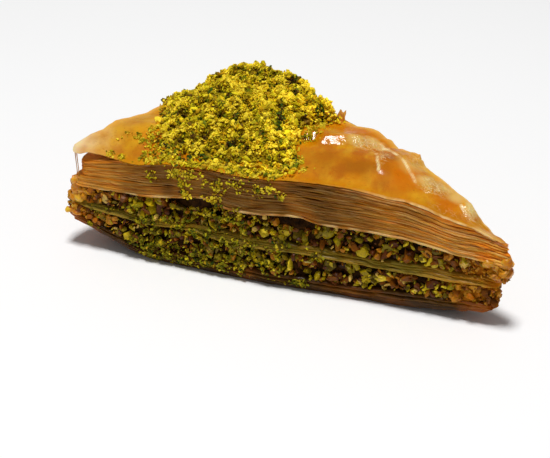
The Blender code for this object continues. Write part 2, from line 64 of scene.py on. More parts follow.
# The slice's form, as its solids have it. Corners: left tip, right tip, back.
form = {
    "lowerCorners": ((-43, -15.7), (61.4, -15.7), (-15.7, 32.6)),
    "upperCorners": ((-38.7, -15.7), (61, -15.7), (-15.7, 32.6)),
    "lowerRadii": (2, 2, 3),
    "upperRadii": (2, 1, 3),
    "cornerStep": ((0.7, 0.8), (0.3, 0.55), (0.3, 0.55)),
    "sideBulge": (1.6, 0.6, 0.6),
    "frontTrim": ((0, 0), (0.5, 0), (0.6, 0.6), (0.66, 0.9), (0.72, 1), (0.78, 0.9), (0.83, 0.6),
                  (0.89, 0.3), (1, 0)),
    "slimmest": 16.1,  # from the middle to the nearest side
    "crown": 27.6,
    "cornerDrops": ((3.2, 0.4), (4.3, 0.42), (1.5, 0.6)),  # how far, and from which share of the way out
    "cornerDropUntil": 1.05,
    "cornerLifts": ((6.6, 0.52), (3.2, 0.52), (1.5, 0.62)),
    "shoulderDrop": (2, 0.7, 1.2),
    "shoulderWidth": 12,
    "rightShoulderDrop": 1.8,
    "rightShoulderSpan": (0.3, 0.9),
    "layerWave": 0.45,
    "waveLength": 17,
    "blisters": (
        (16, -3, 9, 1.1), (29.5, -6.5, 6.5, 1.2), (42, -11, 6, 1.3),
        (52, -14.5, 3.5, 0.8), (-27, -8, 7, 0.8), (22, 9, 6, 0.7),
    ),
    "frontLifts": {  # for each level, places along the long side with how far the layers wave up or down
        0.125: ((-36, 0), (14, 0.3), (22, 0.1), (28, 0.3), (34, 0.8), (38, 0.9), (44, 0.3), (52, 0)),
        0.305: ((-34, 0), (-28, 1.2), (-22, 1.7), (-17, 2.1), (-9, 2.1), (-4, 0.8), (2, 0.7), (8, 1),
                (28, 1), (34, 0.8), (44, 0.3), (50, 0.7), (56, 0.9)),
        0.43: ((-34, -0.2), (-28, 0.2), (-22, 0.3), (-16, 0.6), (8, 0.5), (14, 0.1), (26, 0), (32, 0.2),
               (38, 0.5), (56, 0.6)),
        0.665: ((-34, -0.5), (-28, -0.7), (-22, -0.5), (-16, 0), (-12, 0.7), (-10, 1.3), (-7, 1.65),
                (-5, 1.2), (-2, 0.2), (2, 0), (6, 0.2), (9, 0.7), (12, 1.05), (15, 0.9), (18, 0.2),
                (20, 0.1), (26, 0.25), (32, 0.45), (36, 0.5), (40, 0), (47, 0), (52, 0.5), (56, 1.1)),
        1: ((-34, 0.4), (-28, 0), (-22, 0.1), (-16, 0.5), (-10, 0.1), (2, 0), (8, 0.5), (14, 1), (19, 1.2),
            (24, 0.9), (28, 0.7), (32, 0.4), (36, 0.6), (40, 0), (44, -0.3), (48, 0.5), (53, 0.8)),
    },
    "frontLiftDepth": 9,
    "tipFrom": 0.78,  # where a tip begins, as a share of the way out
    "tipShallow": 0.6,  # how much less deep pieces lie at the tips, as a share
    "boxMargin": 0.02,
}
lowerCorners, upperCorners = np.array(form["lowerCorners"]), np.array(form["upperCorners"])


def ease(low, high, value):
    share = np.clip((value - low) / (high - low), 0, 1)
    return share * share * (3 - 2 * share)


def bell(distance, width):
    return np.exp(-(distance / width) ** 2)


def roundBump(x, y, middleX, middleY, radius):
    return np.exp(-((x - middleX) ** 2 + (y - middleY) ** 2) / radius ** 2)


def curve(points, value):
    return np.interp(value, *np.array(points).T)


def unit(vector):
    return vector / np.hypot(*vector)


def grain(size, *axes):
    # soft noise, one value for each point, with bumps of about this size
    points = np.stack(np.broadcast_arrays(*axes), axis=-1).astype(float) / size
    flat = points.reshape(-1, points.shape[-1])
    if flat.shape[1] == 2:
        flat = np.column_stack([flat, np.zeros(len(flat))])
    return np.array([noise.noise(Vector(spot)) for spot in flat.tolist()]).reshape(points.shape[:-1])


def nearCorner(x, y, k, start, end=1, corners=upperCorners):
    # 0 up to a share of the way from the origin to a corner, 1 from the end share on
    cornerX, cornerY = corners[k]
    return ease(start, end, (x * cornerX + y * cornerY) / (cornerX ** 2 + cornerY ** 2))


def way(x, y, start, direction):
    # how far each place is from a start, along a direction
    return (x - start[0]) * direction[0] + (y - start[1]) * direction[1]


def sideDistance(x, y, side):
    along = unit(upperCorners[(side + 1) % 3] - upperCorners[side])
    return way(x, y, upperCorners[side], (-along[1], along[0]))


def nearSide(x, y, side, width):
    # 1 at a side, fading inwards
    return bell(np.maximum(sideDistance(x, y, side), 0), width)


def bottomHeight(x, y):
    height = np.zeros(np.shape(x))
    for k, (lift, start) in enumerate(form["cornerLifts"]):
        height += lift * nearCorner(x, y, k, start, corners=lowerCorners)
    return height


def crownHeight(x, y):
    height = np.full(np.shape(x), form["crown"])
    for k, (drop, start) in enumerate(form["cornerDrops"]):
        height -= drop * nearCorner(x, y, k, start, form["cornerDropUntil"])
    rightwards = nearCorner(x, y, 1, *form["rightShoulderSpan"])
    for side, drop in enumerate(form["shoulderDrop"]):
        if side == 1:
            drop = drop + form["rightShoulderDrop"] * rightwards
        height -= drop * (1 - ease(0, form["shoulderWidth"], sideDistance(x, y, side)))
    for *blister, rise in form["blisters"]:
        height += rise * roundBump(x, y, *blister)
    return height


def frontLift(share, x, y):
    # how far the layers wave along the long side, fading inwards
    levels = list(form["frontLifts"])
    lifts = [curve(form["frontLifts"][level], x) for level in levels]
    shares = np.interp(share, [0] + levels, np.arange(len(levels) + 1))
    below = min(int(shares), len(levels) - 1)
    lower = lifts[below - 1] if below else 0
    return (lower + (lifts[below] - lower) * (shares - below)) * nearSide(x, y, 0, form["frontLiftDepth"])


def levelHeight(share, x, y):
    # the surface at a share of the way up the slice
    low = bottomHeight(x, y)
    wave = grain(1, x / form["waveLength"], y / form["waveLength"], 4 * share)
    height = low + share * (crownHeight(x, y) - low) + 4 * share * (1 - share) * form["layerWave"] * wave
    return height + frontLift(share, x, y)


def sideFullness(side, share):
    # how far a side stands out from the line between its corners
    trim = curve(form["frontTrim"], share) if side == 0 else 0
    return form["sideBulge"][side] * 4 * share * (1 - share) - trim


def cornerTurn(corners, k):
    # the way from a corner to the last one and to the middle, and half the corner's angle
    toLast, toNext = unit(corners[k - 1] - corners[k]), unit(corners[(k + 1) % 3] - corners[k])
    return toLast, unit(toLast + toNext), math.acos(float(toLast @ toNext)) / 2


outlines = {}


def denseOutline(share):
    # points and outward normals all round the slice at a share of the height
    corners, radii, arcs = [], [], []
    for k, (start, end) in enumerate(form["cornerStep"]):
        upper = ease(start, end, share)
        corners.append(lowerCorners[k] + (upperCorners[k] - lowerCorners[k]) * upper)
        radii.append(form["lowerRadii"][k] + (form["upperRadii"][k] - form["lowerRadii"][k]) * upper)
    for k, corner in enumerate(corners):
        toLast, inward, half = cornerTurn(corners, k)
        centre = corner + inward * radii[k] / math.sin(half)
        angles = np.linspace(0, math.pi - 2 * half, 9)
        normals = np.column_stack([
            -toLast[1] * np.cos(angles) - toLast[0] * np.sin(angles),
            -toLast[1] * np.sin(angles) + toLast[0] * np.cos(angles),
        ])
        arcs.append((centre + normals * radii[k], normals))
    points, normals = [], []
    for k, (arcPoints, arcNormals) in enumerate(arcs):
        shares = np.linspace(0, 1, 90)[1:-1, None]
        start, end = arcPoints[-1], arcs[(k + 1) % 3][0][0]
        points += [arcPoints, start + (end - start) * shares + arcNormals[-1] * sideFullness(k, shares)]
        normals += [arcNormals, np.repeat(arcNormals[-1][None, :], len(shares), axis=0)]
    points, normals = np.vstack(points + [points[0][:1]]), np.vstack(normals + [normals[0][:1]])
    reached = np.concatenate([[0], np.cumsum(np.hypot(*np.diff(points, axis=0).T))])
    return points, normals, reached / reached[-1]


def outlineAt(share, turns):
    key = round(float(share), 3)
    if key not in outlines:
        outlines[key] = denseOutline(share)
    *fields, reached = outlines[key]
    return [np.column_stack([np.interp(turns, reached, field[:, k]) for k in range(2)]) for field in fields]


def layerPlace(span, turns, inwards, rise):
    # points inside a layer: how far round, how far in from the cut, how far up through it
    low, high = span
    spots, normals = outlineAt((low + high) / 2, turns)
    tips = sum(nearCorner(*spots.T, k, form["tipFrom"]) for k in range(2))
    x, y = (spots - normals * (inwards * (1 - form["tipShallow"] * tips))[:, None]).T
    bottom, top = levelHeight(low, x, y), levelHeight(high, x, y)
    return np.column_stack([x, y, bottom + (top - bottom) * rise]), tips, top - bottom


def insideBox(points, reach=0):
    # no place reaches past the solids' box
    low, high = np.array(cadBox) / mm
    margin = form["boxMargin"] + reach
    return np.clip(points, low + margin, high - margin)


# Blender helpers

def startFresh():
    if bpy.context.mode != "OBJECT":
        bpy.ops.object.mode_set(mode="OBJECT")
    bpy.ops.object.select_all(action="DESELECT")


def pick(piece):
    startFresh()
    piece.select_set(True)
    bpy.context.view_layer.objects.active = piece


def newPiece(name, add, **settings):
    startFresh()
    add(**settings)
    bpy.context.object.name = name
    return bpy.context.object


def coordsOf(piece):
    coords = np.empty(len(piece.data.vertices) * 3)
    piece.data.vertices.foreach_get("co", coords)
    return coords.reshape(-1, 3)


def reshape(piece, x, y, z, scale=mm):
    piece.data.vertices.foreach_set("co", np.column_stack([x, y, z]).ravel() * scale)
    piece.data.update()


def turnsOf(points):
    # how far round each point lies, from 0 to 1
    return np.arctan2(points[:, 1], points[:, 0]) / (2 * math.pi) % 1


def ballPlaces(ball):
    # how far round each point of a ball lies, and how far up, from -1 to 1
    points = coordsOf(ball)
    return turnsOf(points), np.arcsin(np.clip(points[:, 2], -1, 1)) / (math.pi / 2)


def addValues(piece, **values):
    for name, value in values.items():
        layer = piece.data.attributes.new(name, "FLOAT", "POINT")
        layer.data.foreach_set("value", np.full(len(piece.data.vertices), value, dtype=float))


def cut(place, facing, threshold=1e-6, **settings):
    bpy.ops.mesh.select_all(action="SELECT")
    bpy.ops.mesh.bisect(plane_co=place, plane_no=facing, threshold=threshold, **settings)


def joined(name, copies):
    startFresh()
    for copy in copies:
        copy.select_set(True)
    bpy.context.view_layer.objects.active = copies[0]
    bpy.ops.object.join()
    whole = bpy.context.object
    whole.name = name
    whole.data.name = name
    return whole


def copyOf(piece):
    copy = piece.copy()
    copy.data = piece.data.copy()
    bpy.context.scene.collection.objects.link(copy)
    return copy


def applyAll(piece):
    pick(piece)
    for modifier in list(piece.modifiers):
        bpy.ops.object.modifier_apply(modifier=modifier.name)


def thicken(piece, thickness):
    piece.modifiers.new("thickness", "SOLIDIFY").thickness = thickness * mm
    applyAll(piece)


def smoothed(piece, degrees):
    pick(piece)
    bpy.ops.object.shade_smooth_by_angle(angle=math.radians(degrees))


def dress(material, slot, node, *pieces):
    for piece in pieces:
        piece.data.materials.clear()
        piece.data.materials.append(material)
        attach(piece, "root")
        if node:
            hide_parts(node)


def surfaceOf(*pieces):
    points, faces = [], []
    for piece in pieces:
        start = len(points)
        points += (coordsOf(piece) / mm).tolist()
        faces += [[start + k for k in face.vertices] for face in piece.data.polygons]
    return BVHTree.FromPolygons(points, faces)


# Colours are given as they look on screen, and turned into the linear values that shaders use.

def tint(*levels):
    levels = [level / 255 for level in levels]
    linear = [level / 12.92 if level <= 0.04045 else ((level + 0.055) / 1.055) ** 2.4 for level in levels]
    return (*linear, 1)


def tintRow(*colours):
    return tuple(tint(*colour) for colour in colours)


class Finish:
    # a material with short ways to add and join its nodes
    def __init__(self, name, **settings):
        self.material = bpy.data.materials.new(name)
        self.material.use_nodes = True
        self.nodes = self.material.node_tree.nodes
        self.links = self.material.node_tree.links
        self.shader = self.nodes["Principled BSDF"]
        for socket, value in settings.items():
            self.shader.inputs[socket].default_value = value
        self.place = self.add("TexCoord", "Object")

    def add(self, kind, output, inputs=None, **settings):
        # a new node, with its inputs set or linked; gives back one of its outputs
        node = self.nodes.new("ShaderNode" + kind)
        for key, value in settings.items():
            setattr(node, key, value)
        for key, value in (inputs or {}).items():
            if isinstance(value, bpy.types.NodeSocket):
                self.links.new(value, node.inputs[key])
            else:
                node.inputs[key].default_value = value
        return node.outputs[output]

    def stretched(self, x, y, z, vector=None):
        return self.add("Mapping", "Vector", {"Vector": vector or self.place, "Scale": (x, y, z)})

    def cloud(self, size, detail=2, roughness=0.5, vector=None):
        # noise with features of about this many millimetres
        inputs = {"Vector": vector or self.place, "Scale": 1 / (size * mm), "Detail": detail,
                  "Roughness": roughness}
        return self.add("TexNoise", "Fac", inputs)

    def ramp(self, factor, *stops):
        colour = self.add("ValToRGB", "Color", {"Fac": factor})
        steps = colour.node.color_ramp.elements
        steps[0].position, steps[0].color = stops[0]
        steps[1].position, steps[1].color = stops[-1]
        for position, between in stops[1:-1]:
            steps.new(position).color = between
        return colour

    def span(self, value, low, high, toLow=0, toHigh=1):
        inputs = {"Value": value, "From Min": low, "From Max": high, "To Min": toLow, "To Max": toHigh}
        return self.add("MapRange", "Result", inputs)

    def along(self, axis, start, end):
        # 0 to 1 between two places on an axis, in millimetres
        return self.span(self.add("SeparateXYZ", axis, {"Vector": self.place}), start * mm, end * mm)

    def sum(self, first, second, operation="ADD"):
        return self.add("Math", "Value", {0: first, 1: second}, operation=operation)

    def times(self, first, second):
        return self.sum(first, second, "MULTIPLY")

    def mix(self, factor, first, second, blend="MIX"):
        return self.add("Mix", 2, {0: factor, 6: first, 7: second}, data_type="RGBA", blend_type=blend)

    def value(self, name, output="Fac"):
        return self.add("Attribute", output, attribute_name=name)

    def wear(self, **sockets):
        for socket, source in sockets.items():
            self.links.new(source, self.shader.inputs[socket.replace("_", " ")])

    def relief(self, height, depth, *also):
        facing = self.add("Bump", "Normal", {"Height": height, "Distance": depth * mm})
        self.wear(Normal=facing, **{socket: facing for socket in also})
        return self.material


# Camera, light and table

studio = {
    "aim": (7.3, -13, 12),
    "azimuth": 20.5,
    "elevation": 30,
    "distance": 300,
    "lens": 92.3,
    "skyColour": (1, 1, 1, 1),
    "skyStrength": 0.19,
    "lampPlace": (-10, -100, 900),
    "lampSize": 0.22,
    "lampPower": 7.2,
    "tableColour": tint(252, 252, 252),
    "tableSize": 3,
}


def setStudio(look):
    azimuth, elevation = math.radians(look["azimuth"]), math.radians(look["elevation"])
    away = Vector((math.sin(azimuth) * math.cos(elevation), -math.cos(azimuth) * math.cos(elevation),
                   math.sin(elevation)))
    startFresh()
    bpy.ops.object.camera_add(location=Vector(look["aim"]) * mm + away * look["distance"] * mm)
    camera = bpy.context.object
    camera.rotation_euler = (-away).to_track_quat("-Z", "Y").to_euler()
    camera.data.lens = look["lens"]
    camera.data.clip_start = 0.01
    bpy.context.scene.camera = camera

    lampPlace = Vector(look["lampPlace"]) * mm
    lamp = newPiece("softLamp", bpy.ops.object.light_add, type="AREA", location=lampPlace)
    lamp.rotation_euler = lampPlace.to_track_quat("Z", "Y").to_euler()
    lamp.data.shape = "SQUARE"
    lamp.data.size = look["lampSize"]
    lamp.data.energy = look["lampPower"]

    sky = bpy.data.worlds.new("softSky")
    sky.use_nodes = True
    sky.node_tree.nodes["Background"].inputs["Color"].default_value = look["skyColour"]
    sky.node_tree.nodes["Background"].inputs["Strength"].default_value = look["skyStrength"]
    bpy.context.scene.world = sky
    bpy.context.scene.view_settings.view_transform = "Standard"

    table = newPiece("table", bpy.ops.mesh.primitive_plane_add, size=look["tableSize"])
    finish = Finish("paleTable", **{"Base Color": look["tableColour"], "Roughness": 0.6})
    table.data.materials.append(finish.material)
    table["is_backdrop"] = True


setStudio(studio)
print("camera, light and table are set")

# Finishes

lipPaleAndHighlight = tint(228, 192, 130)  # the pale edge of a layer's lowest leaf, with a painted highlight along it


def softFinish(name, look, glowReach, glowSpread, shine=0.05, coatRoughness=0.25):
    # a little light passes through it, under a thin coat of syrup
    return Finish(name, **{
        "Roughness": look["roughness"], "Subsurface Weight": look["glow"],
        "Subsurface Scale": glowReach * mm, "Subsurface Radius": glowSpread, "Specular IOR Level": shine,
        "Coat Weight": look["wet"], "Coat Roughness": coatRoughness,
    })


def leafEdgeFinish(name, look):
    # cut edges of pressed leaves: streaks and pale lines along each leaf, warmer at both tips
    finish = softFinish(name, look, 2, (1, 0.45, 0.12))
    x, y = (finish.add("SeparateXYZ", axis, {"Vector": finish.place}) for axis in "XY")
    # height is counted in leaves, so that the streaks follow them
    rolled = finish.add("CombineXYZ", "Vector", {"X": x, "Y": y, "Z": finish.value("level")})
    streaks = finish.cloud(1, 3, 0.6, finish.stretched(0.2, 0.2, 1.8, rolled))
    lines = finish.cloud(1, 3, 0.6, finish.stretched(0.09, 0.09, 4.2, rolled))
    left = finish.span(finish.along("X", *look["leftSpan"]), 0, 1, 1, 0)
    right = finish.along("X", *look["rightSpan"])
    contrast = finish.span(right, 0, 1, 1, look["rightContrast"])
    streak = finish.times(finish.span(streaks, 0.3, 0.7, -look["streaks"], look["streaks"]), contrast)
    low, high, *shift = look["climb"]
    climb = finish.span(finish.value("level"), low * mm, high * mm, *shift)
    tone = finish.sum(finish.sum(finish.value("tone"), streak), climb)
    middle, warm = (finish.ramp(tone, *zip((0, 0.5, 1), look[part])) for part in ("middle", "ends"))
    patches = finish.span(finish.cloud(9), 0.35, 0.65, -0.25, 0.25)
    body = finish.mix(finish.sum(finish.sum(left, right), patches), middle, warm)
    body = finish.mix(finish.times(finish.value("rim"), look["rimPaleness"]), body, look["rim"])
    # only the top pastry's lowest leaf reaches this: its pale edge, partly a painted highlight
    body = finish.mix(finish.span(finish.value("rim"), 1.5, 6, 0, 0.6), body, lipPaleAndHighlight)
    line = finish.times(finish.span(lines, 0.54, 0.61, 0, look["linePaleness"]), contrast)
    finish.wear(Base_Color=finish.mix(line, body, look["rim"]))
    return finish.relief(streaks, look["relief"])


def nutFinish(name, look):
    # each piece has its own colour, with fine mottling
    finish = softFinish(name, look, 1, (1, 0.8, 0.2), look["shine"])
    mottle = finish.cloud(0.5, 3, 0.6)
    shadeOf = finish.ramp(mottle, *zip((0.25, 0.75), look["mottle"]))
    finish.wear(Base_Color=finish.mix(1, finish.value("tint", "Color"), shadeOf, "MULTIPLY"))
    return finish.relief(mottle, look["relief"])


def pasteFinish(name, look):
    # what lies deep between the leaves and the nuts: sticky and uneven, and dark as a painted shade of the
    # gaps between them
    finish = Finish(name, **{"Roughness": 0.6, "Specular IOR Level": 0.05})
    lumps = finish.cloud(look["lumpSize"], 3, 0.6)
    body = finish.ramp(lumps, *zip((0.35, 0.65), look["body"]))
    if "ends" in look:
        tips = finish.sum(finish.along("X", -32, -39), finish.along("X", 42, 54))
        body = finish.mix(tips, body, finish.ramp(lumps, *zip((0.3, 0.7), look["ends"])))
    finish.wear(Base_Color=body)
    return finish.relief(lumps, 0.5)


glazedLeaf = {
    "cell": 0.37,
    "thickness": 0.35,
    "inset": 0.45,
    "tipRadii": (2.3, 1.2, 4),
    "ragged": 0.25,
    "rightRagged": 1.1,
    "reach": 3.6,
    "lift": 3.1,
    "liftFrom": 0.6,
    "tipsFrom": (0.82, 0.8),  # where the tips begin, as shares of the way out
    "bulgeDepth": 14,
    "raggedSizes": (4, 1.1),
    "raggedDepth": 1.6,
    "rimWidth": 3,
    "droop": 0.35,
    "droopWidth": 1.6,
    "tipDroop": 1,  # how much more the left tip droops, as a share
    "frontDrops": ((0, -2.3), (0.12, -1.6), (0.24, -0.5), (0.32, 0), (1, 0)),
    "frontDropWidth": 6,
    "backLifts": (  # for the back right and back left edges: shares of the way from the corner, with lifts
        ((0, 0), (0.05, -0.8), (0.1, -1.5), (0.13, -1), (0.17, 0.4), (0.22, 0.2), (0.27, 0.3),
         (0.325, 0.1), (0.333, 1.1), (0.36, 1.1), (0.4, 0.4), (0.43, -0.7), (0.46, -1.1), (0.49, -0.4),
         (0.52, -0.2), (0.57, -0.5), (0.62, 0), (1, 0)),
        ((0, 0), (0.4, 0.1), (0.54, 0.7), (0.6, 0.5), (0.7, 0.9), (0.78, 1.4), (0.84, 1), (0.9, 1.7),
         (0.97, 1.9), (1, 1.4)),
    ),
    "backLiftWidths": (4, 9),
    "folds": (  # a line of points with the raised side on its left, then height, width and fading length
        (((8, -1.8), (12.5, -0.5), (13.8, -2.8), (18.6, -1.2), (21, 0.2), (24.5, 1.6), (26.5, 3.6),
          (30, 8)),
         1.75, 1.22, 7),
        (((24.6, 2.4), (27.5, 1.2), (30, -1.2), (32.9, -4.4), (35.2, -7.6), (37, -10)), 0.55, 0.4, 3),
        (((25.4, -2.4), (26.8, -4.4), (27.4, -6.6), (28.2, -8.2), (28.8, -10.4)), 0.4, 0.4, 2.5),
        (((45.3, -9.2), (47.9, -11.6), (50.6, -12.6)), 0.9, 0.7, 2.5),
    ),
    "foldWander": (1.6, 0.2),
    "foldEnds": 1.6,
    "creaseEnds": 1.5,
    "slimCrease": 0.36,
    "crumples": (  # a line of points, then width and height
        (((22, -0.2), (25, 0.6), (28, 3)), 2, 0.34),
        (((35.5, -5.5), (38.5, -7.5), (41.5, -9)), 2.2, 0.26),
        (((26.5, -1), (28, -5)), 1.3, 0.18),
    ),
    "ripples": ((1.5, 1), (0.8, 0.5)),
    "wrinkles": ((9, 0.24), (3.2, 0.12), (1.3, 0.02)),
    "stainWander": (2.5, 0.5),
    "soaked": (  # browner places: middle, half sizes and strength
        ((16, -8.5), (7, 4.5), 0.6), ((24, -9), (5, 3.6), 0.85), ((29.8, -8), (2, 5.5), 0.8),
        ((42.5, -14), (3.5, 1.8), 0.6), ((-30, -5), (4, 3), 0.2), ((33.5, -12.5), (4, 2.5), 0.35),
    ),
    "fiery": (  # places of a clear orange
        ((33, -8.5), (4.4, 5), 1), ((18, 6), (8, 4), 0.8), ((43.5, -11.5), (3, 3), 0.8),
        ((-20, -9), (5, 4), 0.7),
    ),
    "milky": (  # pale, cloudy places; on the right part of the leaf partly painted sheen and highlight
        ((48.3, -9.5), (1.4, 3), 0.8), ((45, -7.5), (2.2, 2), 0.6), ((41.3, -6.5), (2.6, 2), 0.6),
        ((38, -7), (2.4, 2.2), 0.55), ((34, -3.5), (2.4, 3), 0.35), ((24.4, 1.6), (2.8, 1.8), 0.6),
        ((20.5, 0.3), (2.8, 1.3), 0.55), ((53, -14.5), (2.5, 1), 0.5), ((-40.4, -14), (6.5, 7), 0.7),
    ),
    "glinting": (  # places with a painted web of bright highlight lines, and stronger bumps
        ((23.5, 0.2), (5, 2.2), 1), ((40, -8), (2.6, 3.4), 1), ((48.6, -11), (1.6, 3), 1),
        ((28.3, -4), (1.2, 3.4), 1), ((44, -13.5), (4, 1.3), 0.3), ((34, -1.5), (2.5, 2.5), 0.6),
        ((8.5, -12.5), (2.5, 1.6), 0.5),
    ),
}


def lineDistance(x, y, points):
    # how far each place is from a line of points, whether it lies on the line's left, and how far
    # its nearest point is from the line's ends
    nearest, left = np.full(np.shape(x), 1e9), np.zeros(np.shape(x), dtype=bool)
    reached, along = 0, np.zeros(np.shape(x))
    for (ax, ay), (bx, by) in zip(points, points[1:]):
        length = math.hypot(bx - ax, by - ay)
        t = np.clip(((x - ax) * (bx - ax) + (y - ay) * (by - ay)) / length ** 2, 0, 1)
        distance = np.hypot(x - ax - t * (bx - ax), y - ay - t * (by - ay))
        nearer = distance < nearest
        left = np.where(nearer, (bx - ax) * (y - ay) - (by - ay) * (x - ax) > 0, left)
        along = np.where(nearer, reached + t * length, along)
        nearest = np.minimum(nearest, distance)
        reached += length
    return nearest, left, np.minimum(along, reached - along)


def leafHeight(x, y):
    # the top leaf's upper face
    look = glazedLeaf
    z = crownHeight(x, y) + frontLift(1, x, y)
    z += look["lift"] * nearCorner(x, y, 0, look["liftFrom"])
    for side, (lifts, width) in enumerate(zip(look["backLifts"], look["backLiftWidths"]), start=1):
        corner, along = upperCorners[side], upperCorners[(side + 1) % 3] - upperCorners[side]
        z += curve(lifts, way(x, y, corner, along) / (along @ along)) * nearSide(x, y, side, width)
    share = (x - upperCorners[0][0]) / (upperCorners[1] - upperCorners[0])[0]
    z += curve(look["frontDrops"], share) * nearSide(x, y, 0, look["frontDropWidth"])
    size, wander = look["foldWander"]
    for points, height, width, fade in look["folds"]:
        distance, left, toEnd = lineDistance(x, y, points)
        signed = np.where(left, distance, -distance) + wander * grain(size, x, y)
        step = np.clip(0.5 + signed / (2 * width), 0, 1)
        z += height * step * bell(distance, fade) * ease(0, look["foldEnds"], toEnd)
    ripples = sum(height * grain(size, x, y) for size, height in look["ripples"])
    for points, width, height in look["crumples"]:
        z += height * ripples * bell(lineDistance(x, y, points)[0], width)
    for k, (size, height) in enumerate(look["wrinkles"]):
        z += height * grain(size, x, y, 3.7 * k)
    return z


# Shapes

def leafStack(name, look, seed):
    # thin pressed leaves, one closed ring each, from a torus flattened to a leaf's edge
    dice = np.random.default_rng(seed)
    blank = newPiece(name, bpy.ops.mesh.primitive_torus_add, major_segments=256, minor_segments=8,
                     major_radius=1, minor_radius=0.25)
    ring = coordsOf(blank)
    turns = np.interp(turnsOf(ring), (0, 0.58, 1), (0, 0.44, 1))  # closer together on the long side
    around = np.arctan2(ring[:, 2], np.hypot(ring[:, 0], ring[:, 1]) - 1)
    quarters = np.linspace(0, math.pi, 5)
    inwards = np.interp(np.abs(around), quarters, look["depths"])
    upwards = np.sign(around) * np.interp(np.abs(around), quarters, (0, 0.8, 1, 1, 0))
    outer = 1 - ease(0, look["depths"][2], inwards)
    thickness = (look["until"] - look["from"]) * form["crown"] / look["leaves"] * look["fill"]
    leaves = []
    for leaf in range(look["leaves"]):
        lowest = leaf == 0
        rise = (leaf + 0.5 + dice.uniform(-look["jitter"], look["jitter"])) / look["leaves"]
        share = look["from"] + (look["until"] - look["from"]) * rise
        spots, normals = outlineAt(max(share, look["planFrom"]), turns)
        x, y = spots.T
        leftTip, rightTip = (nearCorner(x, y, k, 0.72) for k in range(2))
        own = 9 * leaf + seed
        ragged = look["ragged"] * (1 + look["tipRagged"] * rightTip)
        out = ragged * (grain(5, x, y, own) + 0.5 * grain(1.3, x, y, own * 1.3))
        jut = 1 + look["tipUneven"] * (nearCorner(x, y, 1, 0.35, 0.9) + 0.5 * leftTip)
        out += dice.uniform(-look["uneven"], look["uneven"]) * jut
        out -= look["inset"] + look["footInset"] * (1 - rise) ** 2 + look["tipStep"] * rise * rightTip
        if lowest:
            out += look["lip"]
        for _ in range(look["nicks"]):
            middle, width = dice.random(), dice.uniform(*look["nickWidths"])
            out -= dice.uniform(0.3, 1) * look["nickDepth"] * bell(turns - middle, width)
        x, y = (spots * (1 - inwards / form["slimmest"])[:, None] + normals * out[:, None]).T
        wave = look["wave"] * grain(look["waveLength"], x, y, own)
        curl = look["curl"] * grain(look["curlLength"], x, y, own * 0.7) * outer
        flare = look["rightFlare"] * rightTip + look["leftFlare"] * leftTip
        flare = (rise - look["flareFrom"]) * flare * outer
        z = levelHeight(share, x, y) + 0.5 * thickness * upwards + wave + curl + flare
        z = np.maximum(z, form["boxMargin"] + 0.2 * rise)
        if look["underGlaze"]:
            gap, more = look["underGlaze"]
            z = np.minimum(z, leafHeight(x, y) - gap - more * (1 - rise))
        drift = look["toneDrift"] + look["tipToneDrift"] * rightTip
        tone = dice.uniform(*look["tones"]) + drift * grain(look["toneLength"], x, y, own * 2.1)
        rim = outer * ease(-0.6, 0.6, grain(look["rimLength"], x, y, own * 1.7))
        sheet = copyOf(blank)
        reshape(sheet, *insideBox(np.column_stack([x, y, z])).T)
        addValues(sheet, tone=tone * 0.3 + look["lipTone"] if lowest else tone,
                  rim=look["lipRim"] * rim if lowest else rim,
                  level=(share * form["crown"] + 0.5 * thickness * upwards) * mm)
        leaves.append(sheet)
    bpy.data.objects.remove(blank)
    stack = joined(name, leaves)
    smoothed(stack, 60)
    return stack


def pressedCore(name, look, low, high, seed=0):
    # the body behind the edges of a layer, from a ball pulled to the layer's form
    core = newPiece(name, bpy.ops.mesh.primitive_uv_sphere_add, segments=220, ring_count=32, radius=1)
    turns, latitude = ballPlaces(core)
    side = 0.3  # the latitude where the side turns into the top or the bottom
    reach = np.clip((1 - np.abs(latitude)) / (1 - side), 0, 1)
    rise = np.clip((latitude + side) / (2 * side), 0, 1)
    shares = np.round(low + (high - low) * rise, 3)
    x, y, z = np.zeros((3, len(turns)))
    for share in np.unique(shares):
        here = shares == share
        places = outlineAt(max(share, look["planFrom"]), turns[here])[0]
        tips = sum(nearCorner(*places.T, k, 0.6) for k in range(2))
        inwards = look["recess"] / form["slimmest"] * (1 - look["tipReach"] * tips)
        x[here], y[here] = (places * ((1 - inwards) * reach[here])[:, None]).T
        z[here] = levelHeight(share, x[here], y[here])
    if look["underGlaze"]:
        gap, more = look["underGlaze"]
        z = np.minimum(z, leafHeight(x, y) - 2 * gap - more * (1 - rise))
    swell = 1 + look["bumps"] / form["slimmest"] * grain(look["bumpLength"], x, y, z + seed)
    reshape(core, x * swell, y * swell, z)
    addValues(core, tone=look["coreTone"], rim=0, level=shares * form["crown"] * mm)
    smoothed(core, 50)
    return core


def roughLump(name, detail, spread, seed, cuts=0):
    # a small irregular piece: a faceted ball or a block pushed about at random and cut flat on some sides
    dice = np.random.default_rng(seed)
    if detail:
        lump = newPiece(name, bpy.ops.mesh.primitive_ico_sphere_add, subdivisions=detail, radius=1)
    else:
        lump = newPiece(name, bpy.ops.mesh.primitive_cube_add, size=1.3)
    pushed = dice.uniform(1 - spread, 1 + spread, (len(lump.data.vertices), 1))
    reshape(lump, *(coordsOf(lump) * pushed).T, scale=1)
    bpy.ops.object.mode_set(mode="EDIT")
    for _ in range(cuts):
        facing = Vector(dice.normal(size=3).tolist()).normalized()
        cut(facing * dice.uniform(0.35, 0.7), facing, 1e-4, use_fill=True, clear_outer=True)
    bpy.ops.mesh.select_all(action="SELECT")
    bpy.ops.mesh.quads_convert_to_tris()
    bpy.ops.object.mode_set(mode="OBJECT")
    points = coordsOf(lump)
    faces = np.array([list(face.vertices) for face in lump.data.polygons])
    bpy.data.objects.remove(lump)
    return points - points.mean(axis=0), faces


